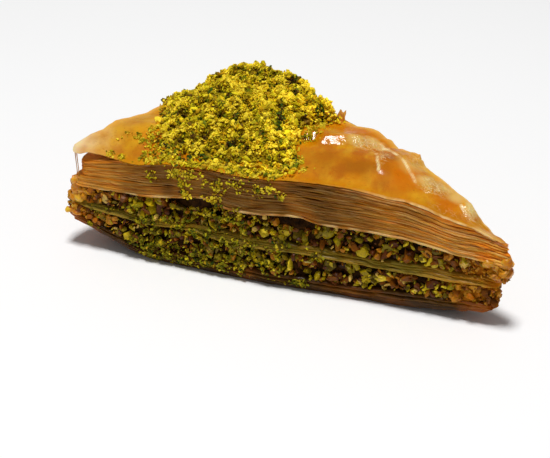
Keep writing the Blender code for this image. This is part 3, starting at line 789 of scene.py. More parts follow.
def randomTurns(dice, count):
    # rotation matrices spread evenly over all directions
    q = dice.normal(size=(count, 4))
    w, x, y, z = (q / np.linalg.norm(q, axis=1)[:, None]).T
    return np.array([
        [1 - 2 * (y * y + z * z), 2 * (x * y - w * z), 2 * (x * z + w * y)],
        [2 * (x * y + w * z), 1 - 2 * (x * x + z * z), 2 * (y * z - w * x)],
        [2 * (x * z - w * y), 2 * (y * z + w * x), 1 - 2 * (x * x + y * y)],
    ]).transpose(2, 0, 1)


def scattered(name, lumps, centres, radii, tints, dice):
    # many small pieces as one mesh, each with its own turn, size and colour
    longest = max(np.linalg.norm(shape, axis=1).max() for shape, _ in lumps)
    centres = insideBox(centres, longest * radii.max(axis=1)[:, None])
    kinds = dice.integers(0, len(lumps), len(centres))
    turns = randomTurns(dice, len(centres))
    points, faces, colours, start = [], [], [], 0
    for kind, (shape, sides) in enumerate(lumps):
        chosen = np.flatnonzero(kinds == kind)
        turned = np.einsum("nij,nkj->nki", turns[chosen], shape * radii[chosen][:, None, :])
        points.append((turned + centres[chosen][:, None, :]).reshape(-1, 3))
        offsets = start + np.arange(len(chosen))[:, None, None] * len(shape)
        faces.append((sides + offsets).reshape(-1, 3))
        colours.append(np.repeat(tints[chosen], len(shape), axis=0))
        start += len(chosen) * len(shape)
    mesh = bpy.data.meshes.new(name)
    mesh.from_pydata((np.vstack(points) * mm).tolist(), [], np.vstack(faces).tolist())
    layer = mesh.attributes.new("tint", "FLOAT_COLOR", "POINT")
    layer.data.foreach_set("color", np.vstack(colours).ravel())
    piece = bpy.data.objects.new(name, mesh)
    bpy.context.scene.collection.objects.link(piece)
    return piece


def smallSizes(sizes, count, dice):
    # more small ones than large ones
    return sizes[0] + (sizes[1] - sizes[0]) * dice.random(count) ** 1.4


def crumbRadii(sizes, dice):
    return sizes[:, None] * dice.uniform((0.8, 0.55, 0.4), (1.6, 1.1, 0.8), (len(sizes), 3))


def varied(tints, spread, dice):
    # each a little lighter or darker
    tints[:, :3] *= dice.uniform(1 - spread, 1 + spread, (len(tints), 1))
    return tints


def drawTints(palette, count, dice, spread):
    # one colour for each piece, picked by weight
    weights, colours = (np.array(part, dtype=float) for part in zip(*palette))
    chosen = dice.choice(len(palette), size=count, p=weights / weights.sum())
    return varied(colours[chosen], spread, dice)


# The three pastries: pressed leaves round a solid body

pastry = {  # what they share, where a pastry doesn't say otherwise
    "planFrom": 0, "inset": 0, "uneven": 0.12, "tipUneven": 0, "tipStep": 0, "lip": 0, "lipRim": 1,
    "footInset": 0, "jitter": 0.2, "nickDepth": 0.4, "nickWidths": (0.002, 0.008), "waveLength": 9,
    "curlLength": 4.5, "rightFlare": 0, "leftFlare": 0, "flareFrom": 0.45, "toneDrift": 0.25,
    "tipToneDrift": 0.15, "toneLength": 6, "rimLength": 3, "tipReach": 0.6, "bumpLength": 2, "coreTone": 0,
    "underGlaze": None,  # how far it stays under the top leaf, and how much more at its foot
}
bottomPastry = {  # dark and soaked
    **pastry, "leaves": 4, "from": 0.004, "until": 0.122, "fill": 1.15, "core": (0, 0.115), "seed": 11,
    "depths": (0, 0.22, 1.3, 3, 3.4), "ragged": 0.25, "tipRagged": 0.6, "lipTone": 0.2,
    "tones": (0.2, 0.6), "footInset": 1.3, "nicks": 14, "wave": 0.06, "curl": 0.08,
    "recess": 0.9, "bumps": 0.3, "coreTone": 0.4,
}
middlePastry = {  # a translucent olive band
    **pastry, "leaves": 4, "from": 0.315, "until": 0.425, "fill": 1.2, "core": (0.315, 0.42), "seed": 23,
    "depths": (0, 0.25, 1.3, 3, 3.4), "inset": 0.1, "ragged": 0.3, "tipRagged": 0.8, "lip": 0.15,
    "lipRim": 1.5, "lipTone": 0.6, "tones": (0.3, 0.7), "nicks": 12, "nickDepth": 0.5, "wave": 0.1,
    "waveLength": 8, "curl": 0.25, "rightFlare": 0.2, "leftFlare": 0.2, "recess": 1, "bumps": 0.4,
    "coreTone": 0.3,
}
topPastry = {  # many thin leaves that fan out at the right tip
    **pastry, "leaves": 23, "from": 0.668, "until": 0.978, "fill": 1.35, "core": (0.672, 0.955), "seed": 5,
    "planFrom": 0.76, "depths": (0, 0.08, 1.4, 3.2, 3.6), "inset": 0.15, "ragged": 0.12, "tipRagged": 4,
    "uneven": 0.06, "tipUneven": 3.5, "tipStep": 1.6, "lip": 0.2, "lipRim": 6, "lipTone": 0.4,
    "tones": (0.34, 0.56), "footInset": -0.35, "nicks": 8, "wave": 0.05, "curl": 0.06, "rightFlare": 0.9,
    "leftFlare": 0.2, "recess": 1.2, "tipReach": 0, "bumps": 0, "coreTone": 0.1,
    "underGlaze": (0.4, 0.8),
}
bottomLook = {
    "roughness": 0.42, "glow": 0.2, "wet": 0.2, "streaks": 0.2, "relief": 0.06,
    "middle": tintRow((42, 23, 3), (68, 41, 6), (98, 68, 14)),
    "ends": tintRow((124, 58, 4), (178, 92, 10), (220, 140, 40)),
    "leftSpan": (-44, -32), "rightSpan": (47, 56), "climb": (0, 3.4, 0, 0),
    "rimPaleness": 0.1, "linePaleness": 0.08, "rightContrast": 1, "rim": tint(150, 100, 34),
}
middleLook = {
    "roughness": 0.4, "glow": 0.3, "wet": 0.12, "streaks": 0.1, "relief": 0.05,
    "middle": tintRow((84, 66, 6), (120, 98, 18), (152, 126, 46)),
    "ends": tintRow((150, 82, 4), (200, 120, 10), (228, 160, 50)),
    "leftSpan": (-44, -34), "rightSpan": (40, 54), "climb": (8.4, 11.9, 0.1, -0.1),
    "rimPaleness": 0.2, "linePaleness": 0.05, "rightContrast": 1.5, "rim": tint(176, 148, 56),
}
topLook = {
    "roughness": 0.45, "glow": 0.35, "wet": 0.02, "streaks": 0.13, "relief": 0.03,
    "middle": tintRow((80, 38, 0), (108, 60, 0), (150, 98, 22)),
    # the tips' own warmer orange, painted brighter still as painted light against the shade of the glazed
    # leaf above
    "ends": tintRow((208, 84, 2), (246, 136, 20), (255, 190, 88)),
    "leftSpan": (-38, -12), "rightSpan": (22, 52), "climb": (19, 26, 0.12, 0.08),
    "rimPaleness": 0.1, "linePaleness": 0.26, "rightContrast": 2.4, "rim": tint(234, 182, 112),
}


def makePastry(name, layer, material, slot, node):
    leaves = leafStack(name + "Leaves", layer, layer["seed"])
    core = pressedCore(name + "Core", layer, *layer["core"])
    dress(material, slot, node, leaves, core)
    print(name, "pastry is made")
    return leaves


bottomLeaves = makePastry("bottom", bottomPastry, leafEdgeFinish("soakedLeaf", bottomLook),
                          "syrup_soaked_pastry", "bottom_pastry")
middleLeaves = makePastry("middle", middlePastry, leafEdgeFinish("oliveLeaf", middleLook),
                          "translucent_pastry", "middle_pastry")
topLeaves = makePastry("top", topPastry, leafEdgeFinish("filoEdge", topLook), "glazed_pastry", "top_pastry")

# The glazed top leaf: a sheet cut to the slice's plan, blistered and creased

glaze = {
    "roughness": 0.4, "glow": 0.25, "wet": 0,
    "leftToRight": tuple(zip((0, 0.06, 0.14, 0.26, 0.5, 0.7, 0.86, 1), tintRow(
        (240, 218, 168), (232, 190, 104), (216, 152, 20), (220, 144, 0), (204, 126, 0), (212, 124, 0),
        (222, 142, 6), (212, 130, 6)))),
    "patches": tint(172, 86, 0), "pale": tint(220, 160, 24), "soaked": tint(160, 92, 6),
    "fiery": tint(204, 108, 0), "specks": tint(160, 78, 0), "edge": tintRow((190, 120, 16), (250, 190, 90)),
    "lip": tint(250, 212, 150), "milk": tintRow((238, 198, 118), (250, 228, 180)),
    # lines: a painted highlight colour for the fold lines and the glinting places
    "lines": tint(252, 226, 166),
}


def makeTopLeaf(look):
    low, high = upperCorners.min(axis=0) - 1, upperCorners.max(axis=0) + 1
    across, deep = high - low
    leaf = newPiece("topLeaf", bpy.ops.mesh.primitive_grid_add, size=mm,
                    x_subdivisions=int(across / look["cell"]), y_subdivisions=int(deep / look["cell"]))
    bpy.ops.object.mode_set(mode="EDIT")
    bpy.ops.mesh.select_all(action="SELECT")
    bpy.ops.transform.resize(value=(across, deep, 1))
    bpy.ops.transform.translate(value=(*((low + high) / 2 * mm), 0))
    sides, tips = [], []
    for k, corner in enumerate(upperCorners):
        side = upperCorners[(k + 1) % 3] - corner
        along = unit(side)
        outward = np.array([along[1], -along[0]])
        sides.append((corner, along, outward, np.hypot(*side)))
        cut((*((corner - outward * look["inset"]) * mm), 0), (*outward, 0), clear_outer=True)
    for k, corner in enumerate(upperCorners):  # the sharp tips are cut round
        _, inward, half = cornerTurn(upperCorners, k)
        radius = look["tipRadii"][k]
        centre = corner + inward * (radius + look["inset"]) / math.sin(half)
        for turn in np.linspace(half - math.pi / 2, math.pi / 2 - half, 9)[1:-1]:
            angle = math.atan2(-inward[1], -inward[0]) + turn
            outward = np.array([math.cos(angle), math.sin(angle)])
            tips.append((centre + outward * radius, outward))
            cut((*(tips[-1][0] * mm), 0), (*outward, 0), clear_outer=True)
    bpy.ops.object.mode_set(mode="OBJECT")
    x, y = coordsOf(leaf).T[:2] / mm
    leftTip, rightTip = (nearCorner(x, y, k, start) for k, start in enumerate(look["tipsFrom"]))
    edge, moves = np.full(len(x), 1e9), np.zeros((len(x), 2))
    for k, (corner, along, outward, length) in enumerate(sides):
        distance = -way(x, y, corner, outward) - look["inset"]
        share = np.clip(way(x, y, corner, along) / length, 0, 1)
        bulge = sideFullness(k, share) * (1 - ease(0, look["bulgeDepth"], distance))
        large, small = look["raggedSizes"]
        wander = grain(large, share * length, 31 * k) + 0.5 * grain(small, share * length, 17 * k)
        ragged = (look["ragged"] + look["rightRagged"] * rightTip) * wander
        moves += outward * (bulge + ragged * bell(distance, look["raggedDepth"]))[:, None]
        edge = np.minimum(edge, distance)
    for place, outward in tips:
        edge = np.minimum(edge, -way(x, y, place, outward))
    moves += unit(upperCorners[0]) * (look["reach"] * leftTip)[:, None]
    x, y = x + moves[:, 0], y + moves[:, 1]
    over = 1 - np.clip(edge / look["droopWidth"], 0, 1)
    droop = look["droop"] * (1 - np.sqrt(1 - 0.97 * over ** 2)) * (0.85 + 0.5 * grain(7, x, y))
    reshape(leaf, x, y, leafHeight(x, y) - droop * (1 + look["tipDroop"] * leftTip))
    # where painted highlights go along the fold lines
    creases = np.zeros(len(x))
    for points, _, width, _ in look["folds"][1:]:
        distance, _, toEnd = lineDistance(x, y, points)
        crease = bell(distance, max(0.5 * width, look["slimCrease"])) * ease(0, look["creaseEnds"], toEnd)
        creases = np.maximum(creases, crease)
    addValues(leaf, rim=1 - ease(0, look["rimWidth"], edge), crease=creases)
    size, wander = look["stainWander"]
    for name in ("soaked", "fiery", "milky", "glinting"):
        stain = np.zeros(len(x))
        for (sx, sy), (across, deep), strength in look[name]:
            far = np.hypot((x - sx) / across, (y - sy) / deep) + wander * grain(size, x, y, sx)
            stain = np.maximum(stain, strength * (1 - ease(0.1, 1.5, far)))
        addValues(leaf, **{name: stain})
    thicken(leaf, look["thickness"])
    smoothed(leaf, 80)
    return leaf


def glazeFinish(look):
    finish = softFinish("glazedLeaf", look, 2, (1, 0.4, 0.08), coatRoughness=0.09)
    base = finish.ramp(finish.along("X", -42, 60), *look["leftToRight"])
    patches = finish.span(finish.cloud(5, 4, 0.55), 0.4, 0.62)
    base = finish.mix(finish.times(patches, 0.65), base, look["patches"])
    pale = finish.span(finish.cloud(6, 4, 0.6, finish.stretched(1.6, 1, 1)), 0.44, 0.66)
    base = finish.mix(finish.times(pale, 0.7), base, look["pale"])
    base = finish.mix(finish.value("soaked"), base, look["soaked"])
    base = finish.mix(finish.value("fiery"), base, look["fiery"])
    specks = finish.span(finish.cloud(0.8, 3, 0.7), 0.58, 0.72)
    base = finish.mix(finish.times(specks, 0.5), base, look["specks"])
    rim = finish.value("rim")
    edge = finish.mix(finish.along("Y", -12, -4), *look["edge"])
    base = finish.mix(finish.times(rim, 0.6), base, edge)
    lip = finish.times(finish.span(rim, 0.86, 1, 0, 0.75), finish.along("X", 24, 38))
    lip = finish.times(lip, finish.span(finish.cloud(2.6, 3), 0.36, 0.6, 0.15, 1))
    base = finish.mix(lip, base, look["lip"])  # the thin edge shows pale towards the right tip
    # pale cloudy places in cream, some of them painted sheen and highlight
    base = finish.mix(finish.value("milky"), base, finish.mix(finish.along("X", -30, -37), *look["milk"]))
    # a painted web of highlight lines where the leaf glints
    paintedGlintNet = finish.sum(finish.sum(finish.cloud(1.9, 4, 0.65), 0.5, "SUBTRACT"), 0, "ABSOLUTE")
    paintedGlintNet = finish.times(finish.span(paintedGlintNet, 0, 0.045, 0.6, 0), finish.value("glinting"))
    # painted highlights along the fold lines, broken up by noise
    broken = finish.span(finish.cloud(2), 0.38, 0.6, 0.2, 0.9)
    crease = finish.times(finish.span(finish.value("crease"), 0.3, 0.85), broken)
    finish.wear(Base_Color=finish.mix(finish.sum(crease, paintedGlintNet, "MAXIMUM"), base, look["lines"]))
    finish.wear(Roughness=finish.span(finish.cloud(2.5, 3), 0.3, 0.7, 0.3, 0.52))
    front = finish.span(finish.along("Y", 0.5, 4), 0, 1, 1, 0)
    coat = finish.times(finish.span(rim, 0.1, 0.7, 0.5, 0), front)
    dull = finish.sum(finish.value("soaked"), finish.value("fiery"), "MAXIMUM")
    finish.wear(Coat_Weight=finish.times(coat, finish.span(dull, 0.2, 1, 1, 0.35)))
    rough = finish.span(finish.value("glinting"), 0, 1, 0.09, 1)
    # the shiny coat follows the bumps too
    return finish.relief(finish.times(finish.cloud(1, 4, 0.6), rough), 0.6, "Coat_Normal")


topLeaf = makeTopLeaf(glazedLeaf)
leafMaterial = glazeFinish(glaze)
dress(leafMaterial, "glazed_pastry", "top_pastry", topLeaf)
print("top leaf is made")

# Torn flakes that stand up from the top leaf's back edge, and threads of syrup at the left tip

flakes = (
    {"place": (13, 12.6), "facing": -30, "width": 3.4, "height": 2.6, "lean": 0.8, "torn": 0.45,
     "edge": ((-0.5, 0.1), (-0.35, 0.8), (-0.1, 0.3), (0.1, 0.5), (0.4, 1), (0.5, 0.5))},
    {"place": (33.1, 0.5), "facing": -34, "width": 5.2, "height": 0.9, "lean": 1, "torn": 1,
     "edge": ((-0.5, 0), (-0.1, 0.35), (0.2, 0.6), (0.36, 1), (0.42, 0.55), (0.5, 0.1))},
)
flakeSunk = 0.7  # how deep a flake's foot is in the leaf
flakeThickness = 0.25
threads = {"radius": 0.11, "bottom": 16.4, "places": ((-38.5, -14.8), (-38, -15)), "cuts": 8, "sunk": 0.35}


def makeFlake(look, seed):
    flake = newPiece("tornFlakes", bpy.ops.mesh.primitive_grid_add, x_subdivisions=22, y_subdivisions=8,
                     size=1)
    across, up = coordsOf(flake)[:, 0], coordsOf(flake)[:, 1] + 0.5
    own = 5 * seed
    points = curve(look["edge"], across)
    tall = look["height"] * (1 - look["torn"] * (1 - points) - 0.1 * grain(0.3, across, own))
    out = look["lean"] * up ** 2 + 0.25 * grain(0.4, across, up, own)
    side = across * look["width"] * (1 - 0.35 * up)
    turn = math.radians(look["facing"])
    x = look["place"][0] + side * math.cos(turn) - out * math.sin(turn)
    y = look["place"][1] + side * math.sin(turn) + out * math.cos(turn)
    reshape(flake, x, y, leafHeight(x, y) - flakeSunk + (tall + flakeSunk) * up)
    addValues(flake, rim=0.4 * up, milky=0.3 * up)
    thicken(flake, flakeThickness)
    return flake


def makeThread(look, place):
    top = float(leafHeight(*np.array(place)[:, None])[0]) - look["sunk"]
    thread = newPiece("syrupThreads", bpy.ops.mesh.primitive_cylinder_add, vertices=8,
                      radius=look["radius"] * mm, depth=1)
    bpy.ops.object.mode_set(mode="EDIT")
    for k in range(1, look["cuts"]):
        cut((0, 0, k / look["cuts"] - 0.5), (0, 0, 1))
    bpy.ops.object.mode_set(mode="OBJECT")
    x, y, z = coordsOf(thread).T
    up = z + 0.5
    x = x / mm * (0.7 + 0.9 * (2 * up - 1) ** 2) + place[0] + 0.1 * np.sin(up * 5) + 0.2 * up
    y = y / mm + place[1] + 0.1 * np.cos(up * 4)
    reshape(thread, x, y, look["bottom"] + (top - look["bottom"]) * up)
    addValues(thread, rim=1)
    return thread


tornFlakes = joined("tornFlakes", [makeFlake(look, k) for k, look in enumerate(flakes)])
smoothed(tornFlakes, 70)
syrupThreads = joined("syrupThreads", [makeThread(threads, place) for place in threads["places"]])
smoothed(syrupThreads, 60)
dress(leafMaterial, "glazed_pastry", "top_pastry", tornFlakes, syrupThreads)
print("flakes and threads are made")

# Chopped pistachio in the two fillings

nutLumps = [roughLump("nutLump", 2, 0.12, 40 + k, cuts=6) for k in range(8)]
chipLumps = [roughLump("chipLump", 0, 0.35, 50 + k) for k in range(8)]
fillingTints = tuple(zip((4, 4, 2, 4, 4, 4, 2, 1), tintRow(
    (188, 164, 10), (150, 132, 6), (226, 200, 44), (112, 94, 4), (92, 46, 6), (132, 76, 8), (184, 120, 16),
    (228, 190, 96))))
orangeTints = tuple(zip((4, 4, 2, 2), tintRow((178, 104, 8), (208, 142, 28), (154, 116, 10), (118, 66, 8))))
orangeSpans = ((42, 54), (-26, -37))
upperFilling = {
    "layer": (0.43, 0.665), "nuts": ((0.1, 600), (1.4, 380)), "chips": 800, "sizes": (0.6, 2),
    "hollows": ((-13, -6), (10, 16)), "seed": 61,
    "startsAt": -37.3,  # the amber end takes the place of the nuts at the left tip
}
lowerFilling = {
    "layer": (0.125, 0.305), "nuts": ((0.1, 580), (1.4, 360)), "chips": 800, "sizes": (0.6, 1.8),
    "hollows": (), "seed": 67, "startsAt": -99,
}
amberEnd = {  # rounded, syrup-soaked lumps at both tips: middles and half sizes
    "lumps": (((-38.9, -14.6, 14.6), (1, 1.3, 2.9)), ((-37.7, -14.6, 15), (1.1, 1.2, 2.4)),
              ((-36.6, -14.8, 14.8), (1.1, 1.1, 2.2)), ((-38.3, -12.8, 14.4), (1.3, 2, 2.6)),
              ((-39.3, -15.1, 11.9), (0.95, 1, 1.1)), ((-38, -15.4, 12.2), (1.1, 0.9, 1.2)),
              ((-39.6, -14.8, 10.1), (1.1, 1.1, 1.2)), ((-40.3, -15.2, 8.7), (1.3, 1.1, 0.6)),
              ((-38.8, -15.5, 8.5), (1.3, 1, 0.8)),
              ((57.3, -15, 14.9), (1.3, 1.1, 1.5)), ((55.6, -15.3, 14), (1.2, 1, 1.2)),
              ((54, -15.5, 14.9), (1.2, 0.9, 1.1)), ((56.5, -13.6, 14.6), (1.8, 1.5, 1.5)),
              ((57.5, -14.6, 12.7), (1.4, 1.4, 1.3)), ((55.9, -15.4, 12), (0.9, 0.8, 0.8))),
    "flatTop": 17,
    "cell": 0.22, "bumps": ((1.8, 0.3), (0.7, 0.12)),
}
nutStretch = ((0.9, 0.65, 0.55), (1.2, 0.95, 0.85))  # least and most, for each of its three sizes
chipStretch = ((0.8, 0.5, 0.3), (1.5, 1, 0.7))
chipSizes = (0.25, 0.6)
nutLook = {"roughness": 0.45, "glow": 0.3, "wet": 0.12, "shine": 0.1, "relief": 0.15,
           "mottle": ((0.6, 0.55, 0.45, 1), (1.2, 1.15, 1, 1))}
nutMaterial = nutFinish("choppedNut", nutLook)


def inLayer(look, depth, sizes, dice):
    # places all round one layer, inside its top and bottom, and lower in its hollows
    count = len(sizes)
    turns = (np.arange(count) + dice.random(count)) / count
    inwards = depth + dice.uniform(0, 0.5, count) + 0.5 * (sizes - look["sizes"][0])
    rise = dice.uniform(-1, 1, count)
    rise = 0.5 + 0.5 * np.sign(rise) * np.abs(rise) ** 0.7  # more of them against the leaves
    spots, tips, thickness = layerPlace(look["layer"], turns, inwards, rise)
    sizes *= 1 - 0.2 * tips  # smaller where the slice runs out
    margin = np.minimum(0.35 * sizes / thickness, 0.5)
    rise = margin + (1 - 2 * margin) * rise
    for start, end in look["hollows"]:
        inside = (spots[:, 1] < -9) * ease(start - 2, start, spots[:, 0]) * ease(end + 2, end, spots[:, 0])
        rise = rise * (1 - 0.4 * inside)
        inwards = inwards + 0.8 * inside
    return layerPlace(look["layer"], turns, inwards, rise)[0]


def nutTints(spots, dice):
    # more orange ones towards both tips
    tints = drawTints(fillingTints, len(spots), dice, 0.2)
    toTips = sum(ease(*span, spots[:, 0]) for span in orangeSpans)
    chosen = dice.random(len(spots)) < 1.3 * toTips
    tints[chosen] = drawTints(orangeTints, int(chosen.sum()), dice, 0.15)
    return tints


def makeNuts(name, look, slot, node):
    dice = np.random.default_rng(look["seed"])
    spots, radii, paintedDepthShade = [], [], []
    for depth, count in look["nuts"]:
        sizes = smallSizes(look["sizes"], count, dice)
        spots.append(inLayer(look, depth, sizes, dice))
        radii.append(sizes[:, None] * dice.uniform(*nutStretch, (count, 3)))
        # the deeper row is painted darker, as painted shade
        paintedDepthShade.append(np.full((count, 1), 1 - 0.3 * depth))
    spots, radii, paintedDepthShade = np.vstack(spots), np.vstack(radii), np.vstack(paintedDepthShade)
    kept = spots[:, 0] > look["startsAt"]
    tints = nutTints(spots[kept], dice)
    tints[:, :3] *= paintedDepthShade[kept]
    nuts = scattered(name, nutLumps, spots[kept], radii[kept], tints, dice)
    smoothed(nuts, 42)
    sizes = dice.uniform(*chipSizes, look["chips"])
    spots = inLayer(look, 0.1, sizes, dice)
    radii = sizes[:, None] * dice.uniform(*chipStretch, (look["chips"], 3))
    kept = spots[:, 0] > look["startsAt"]
    tints = nutTints(spots[kept], dice)
    chips = scattered(name + "Chips", chipLumps, spots[kept], radii[kept], tints, dice)
    dress(nutMaterial, slot, node, nuts, chips)
    return nuts


upperNuts = makeNuts("upperNuts", upperFilling, "upper_nut_filling", "upper_filling")
lowerNuts = makeNuts("lowerNuts", lowerFilling, "lower_nut_filling", "lower_filling")

fillingPaste = {
    **pastry, "lumpSize": 1.3, "recess": 1.2, "tipReach": 0.72, "bumps": 1,
    "body": tintRow((20, 8, 0), (62, 34, 2)), "ends": tintRow((130, 64, 4), (200, 122, 12)),
}
pasteMaterial = pasteFinish("nutPaste", fillingPaste)
dress(pasteMaterial, "upper_nut_filling", "upper_filling",
      pressedCore("upperPaste", fillingPaste, 0.425, 0.66, 3))
dress(pasteMaterial, "lower_nut_filling", "lower_filling",
      pressedCore("lowerPaste", fillingPaste, 0.118, 0.31, 3))


def makeAmberEnd(look):
    lumps = []
    for middle, half in look["lumps"]:
        lumps.append(newPiece("amberEnd", bpy.ops.mesh.primitive_ico_sphere_add, subdivisions=4, radius=1))
        reshape(lumps[-1], *(coordsOf(lumps[-1]) * half + middle).T)
    end = joined("amberEnd", lumps)
    melt = end.modifiers.new("melt", "REMESH")
    melt.mode = "VOXEL"
    melt.voxel_size = look["cell"] * mm
    applyAll(end)
    points = coordsOf(end) / mm
    outward = np.empty(points.size)
    end.data.vertices.foreach_get("normal", outward)
    for size, height in look["bumps"]:
        points = points + outward.reshape(-1, 3) * (2 * height * grain(size, *points.T))[:, None]
    top = look["flatTop"] + 0.5 * grain(0.9, points[:, 0], points[:, 1])
    points[:, 2] = np.minimum(points[:, 2], top)
    reshape(end, *insideBox(points).T)
    smoothed(end, 60)
    return end


def amberFinish():
    # pastry soaked through with syrup: clear orange, with paler and darker lumps in it
    look = {"roughness": 0.4, "glow": 0.5, "wet": 0.2}
    finish = softFinish("soakedAmber", look, 3, (1, 0.5, 0.1), 0.3)
    lumps = finish.cloud(2.2, 3, 0.6)
    colours = zip((0.3, 0.5, 0.7), tintRow((184, 104, 4), (224, 146, 12), (240, 190, 56)))
    right = finish.span(finish.along("X", 0, 40), 0, 1, 0, 0.3)
    finish.wear(Base_Color=finish.mix(right, finish.ramp(lumps, *colours), tint(140, 76, 4)))
    return finish.relief(finish.cloud(0.8, 3), 0.15)


dress(amberFinish(), "upper_nut_filling", "upper_filling", makeAmberEnd(amberEnd))
print("fillings are made")

# The heap of ground pistachio on the back corner

heap = {
    "edge": (
        (-16.5, -14.6), (-2, -15.6), (11.4, -14.6), (8.2, -4), (8.4, 4.4), (12, 12.2),
        (0, 20.8), (-13.6, 29.2), (-17.8, 26.8), (-22, 18), (-26.2, 8.6), (-22, -4),
    ),
    "rim": 0.35,
    "rimReach": 0.25,
    "peak": 5.6,
    "frontShare": 0.06,
    "frontToBack": (-15, 9),
    "leftShare": 0.54,
    "leftToRight": (-26, 2),
    "swell": (7, 0.2),
    "relief": (1.7, 1.3),
    "clumps": ((3.2, 0.75), (1.3, 0.55), (0.8, 0.15)),
    "humps": ((-15.3, 19.3, 3, 1.7), (0.5, 19.8, 3.5, 1.9), (-22, 12.5, 4, -1.7), (7.4, 13.7, 2.4, -1.5),
              (2.2, 16.5, 2.2, 1.6), (-19.4, 17.4, 1.8, 1), (-23.8, 15, 1.8, -1.2), (-11.5, 19.5, 1.8, 0.9),
              (-6, 19, 2.4, 0.8)),
    "coreBelow": 0.55,  # how far its solid core lies under the crumbs
    "coreSunk": 0.3,
    "edgeScatter": 0.05,
    "sparse": (-7, -15, 0.6),  # from here, until here, and the share of crumbs taken away there
    "crumbs": 15500,
    "crumbSizes": (0.18, 0.43),
    "bits": 700,
    "bitSizes": (0.4, 0.8),
}
heapTints = tintRow(  # from dark crumbs in the pits, a painted shade, up to bright ones on the tops of the clusters
    (44, 24, 6), (74, 46, 8), (44, 70, 6), (102, 76, 8), (98, 106, 8), (144, 120, 8), (166, 150, 10),
    (198, 156, 16), (188, 174, 12), (216, 184, 18), (220, 200, 24), (240, 214, 52))
crumbLook = {"roughness": 0.7, "glow": 0.1, "wet": 0, "shine": 0.15, "relief": 0.06,
             "mottle": ((0.7, 0.68, 0.6, 1), (1.15, 1.15, 1.1, 1))}
crumbMaterial = nutFinish("groundNut", crumbLook)


def heapEdge(turns):
    # a smooth closed curve through the heap's edge points
    points = np.array(heap["edge"])
    count = len(points)
    k = np.floor(turns * count).astype(int) % count
    t = (turns * count % 1)[:, None]
    before, start, end, after = points[k - 1], points[k], points[(k + 1) % count], points[(k + 2) % count]
    bend = (end - before) * t + (before * 2 - start * 5 + end * 4 - after) * t ** 2
    return start + (bend + (start * 3 - before - end * 3 + after) * t ** 3) * 0.5


heapMiddle = heapEdge(np.linspace(0, 1, 240, endpoint=False)).mean(axis=0)


def heapPlace(turns, reach):
    return (heapMiddle + (heapEdge(turns) - heapMiddle) * reach[:, None]).T


def heapThickness(x, y, reach):
    right, back = ease(*heap["leftToRight"], x), ease(*heap["frontToBack"], y)
    peak = heap["peak"] * (heap["leftShare"] + (1 - heap["leftShare"]) * right)
    peak = peak * (heap["frontShare"] + (1 - heap["frontShare"]) * back)
    for *hump, rise in heap["humps"]:
        peak = peak + rise * roundBump(x, y, *hump)
    rim = 1 - (1 - np.minimum((1 - reach) / heap["rimReach"], 1)) ** 2
    (size, swell), (length, relief) = heap["swell"], heap["relief"]
    return heap["rim"] + rim * (peak * (1 + swell * grain(size, x, y)) + relief * grain(length, x, y))


def crumbTints(clumps, dice):
    # bright crumbs on the clumps and darker ones in the pits between them: painted light on the tops,
    # painted shade in the pits
    level = 0.67 + 0.42 * clumps + 0.18 * dice.normal(size=len(clumps))
    count = len(heapTints)
    return varied(np.array(heapTints)[np.clip(level * count, 0, count - 1).astype(int)], 0.2, dice)


def clumping(x, y):
    # how far the crumbs stand up in clumps, in millimetres
    return sum(height * 2 * grain(size, x, y, size) for size, height in heap["clumps"])


def makeHeapCore():
    core = newPiece("heapCore", bpy.ops.mesh.primitive_uv_sphere_add, segments=260, ring_count=110, radius=1)
    turns, latitude = ballPlaces(core)
    reach = 1 - np.abs(latitude)
    x, y = heapPlace(turns, reach * 0.96)
    top = leafHeight(x, y) + heapThickness(x, y, reach) + clumping(x, y)
    top -= heap["coreBelow"] + ease(0.8, 1, reach)
    under = leafHeight(x, y) - heap["coreSunk"]
    z = np.where(latitude > 0.006, np.maximum(top, under + 0.02), under)
    reshape(core, *insideBox(np.column_stack([x, y, z])).T)
    smoothed(core, 60)
    return core


def makeHeapPieces(name, lumps, count, sizes, seed):
    dice = np.random.default_rng(seed)
    turns, reach = dice.random(count), np.sqrt(dice.random(count))
    x, y = heapPlace(turns, reach + np.abs(dice.normal(size=count)) * heap["edgeScatter"] * reach ** 8)
    clumps = clumping(x, y)
    thick = heapThickness(x, y, reach) + clumps
    radius = dice.uniform(*sizes, count)
    start, end, share = heap["sparse"]
    thinned = (y < start) & (dice.random(count) < ease(start, end, y) * share)
    x, y, clumps, thick, radius = (values[~thinned] for values in (x, y, clumps, thick, radius))
    deep = dice.random(len(x)) ** 1.5 * 0.8
    z = leafHeight(x, y) + np.maximum(thick - deep, 0.6 * radius)
    radii = crumbRadii(radius, dice)
    tints = crumbTints(0.9 * clumps + 1.4 * grain(2.4, x, y), dice)
    # deeper crumbs are painted darker, a painted shade, and those towards the right a little brighter
    tints[:, :3] *= (np.clip(1.25 - 0.3 * deep, 0.5, 1.4) * (1 + 0.2 * ease(-4, 8, x)))[:, None]
    return scattered(name, lumps, np.column_stack([x, y, z]), radii, tints, dice)


# the core shows in the gaps between the crumbs; its dark end is a painted shade of those gaps
heapPaste = {"body": tintRow((58, 38, 2), (190, 158, 14)), "lumpSize": 0.55}
dress(pasteFinish("heapDark", heapPaste), "ground_pistachio", "pistachio_heap", makeHeapCore())
bitLumps = [roughLump("bitLump", 2, 0.16, 100 + k, cuts=2) for k in range(5)]
heapCrumbs = makeHeapPieces("heapCrumbs", chipLumps, heap["crumbs"], heap["crumbSizes"], 91)
heapBits = makeHeapPieces("heapBits", bitLumps, heap["bits"], heap["bitSizes"], 97)
dress(crumbMaterial, "ground_pistachio", "pistachio_heap", heapCrumbs, heapBits)
print("pistachio heap is made")

# Crumbs that fell on the top leaf beside the heap and down the long cut side

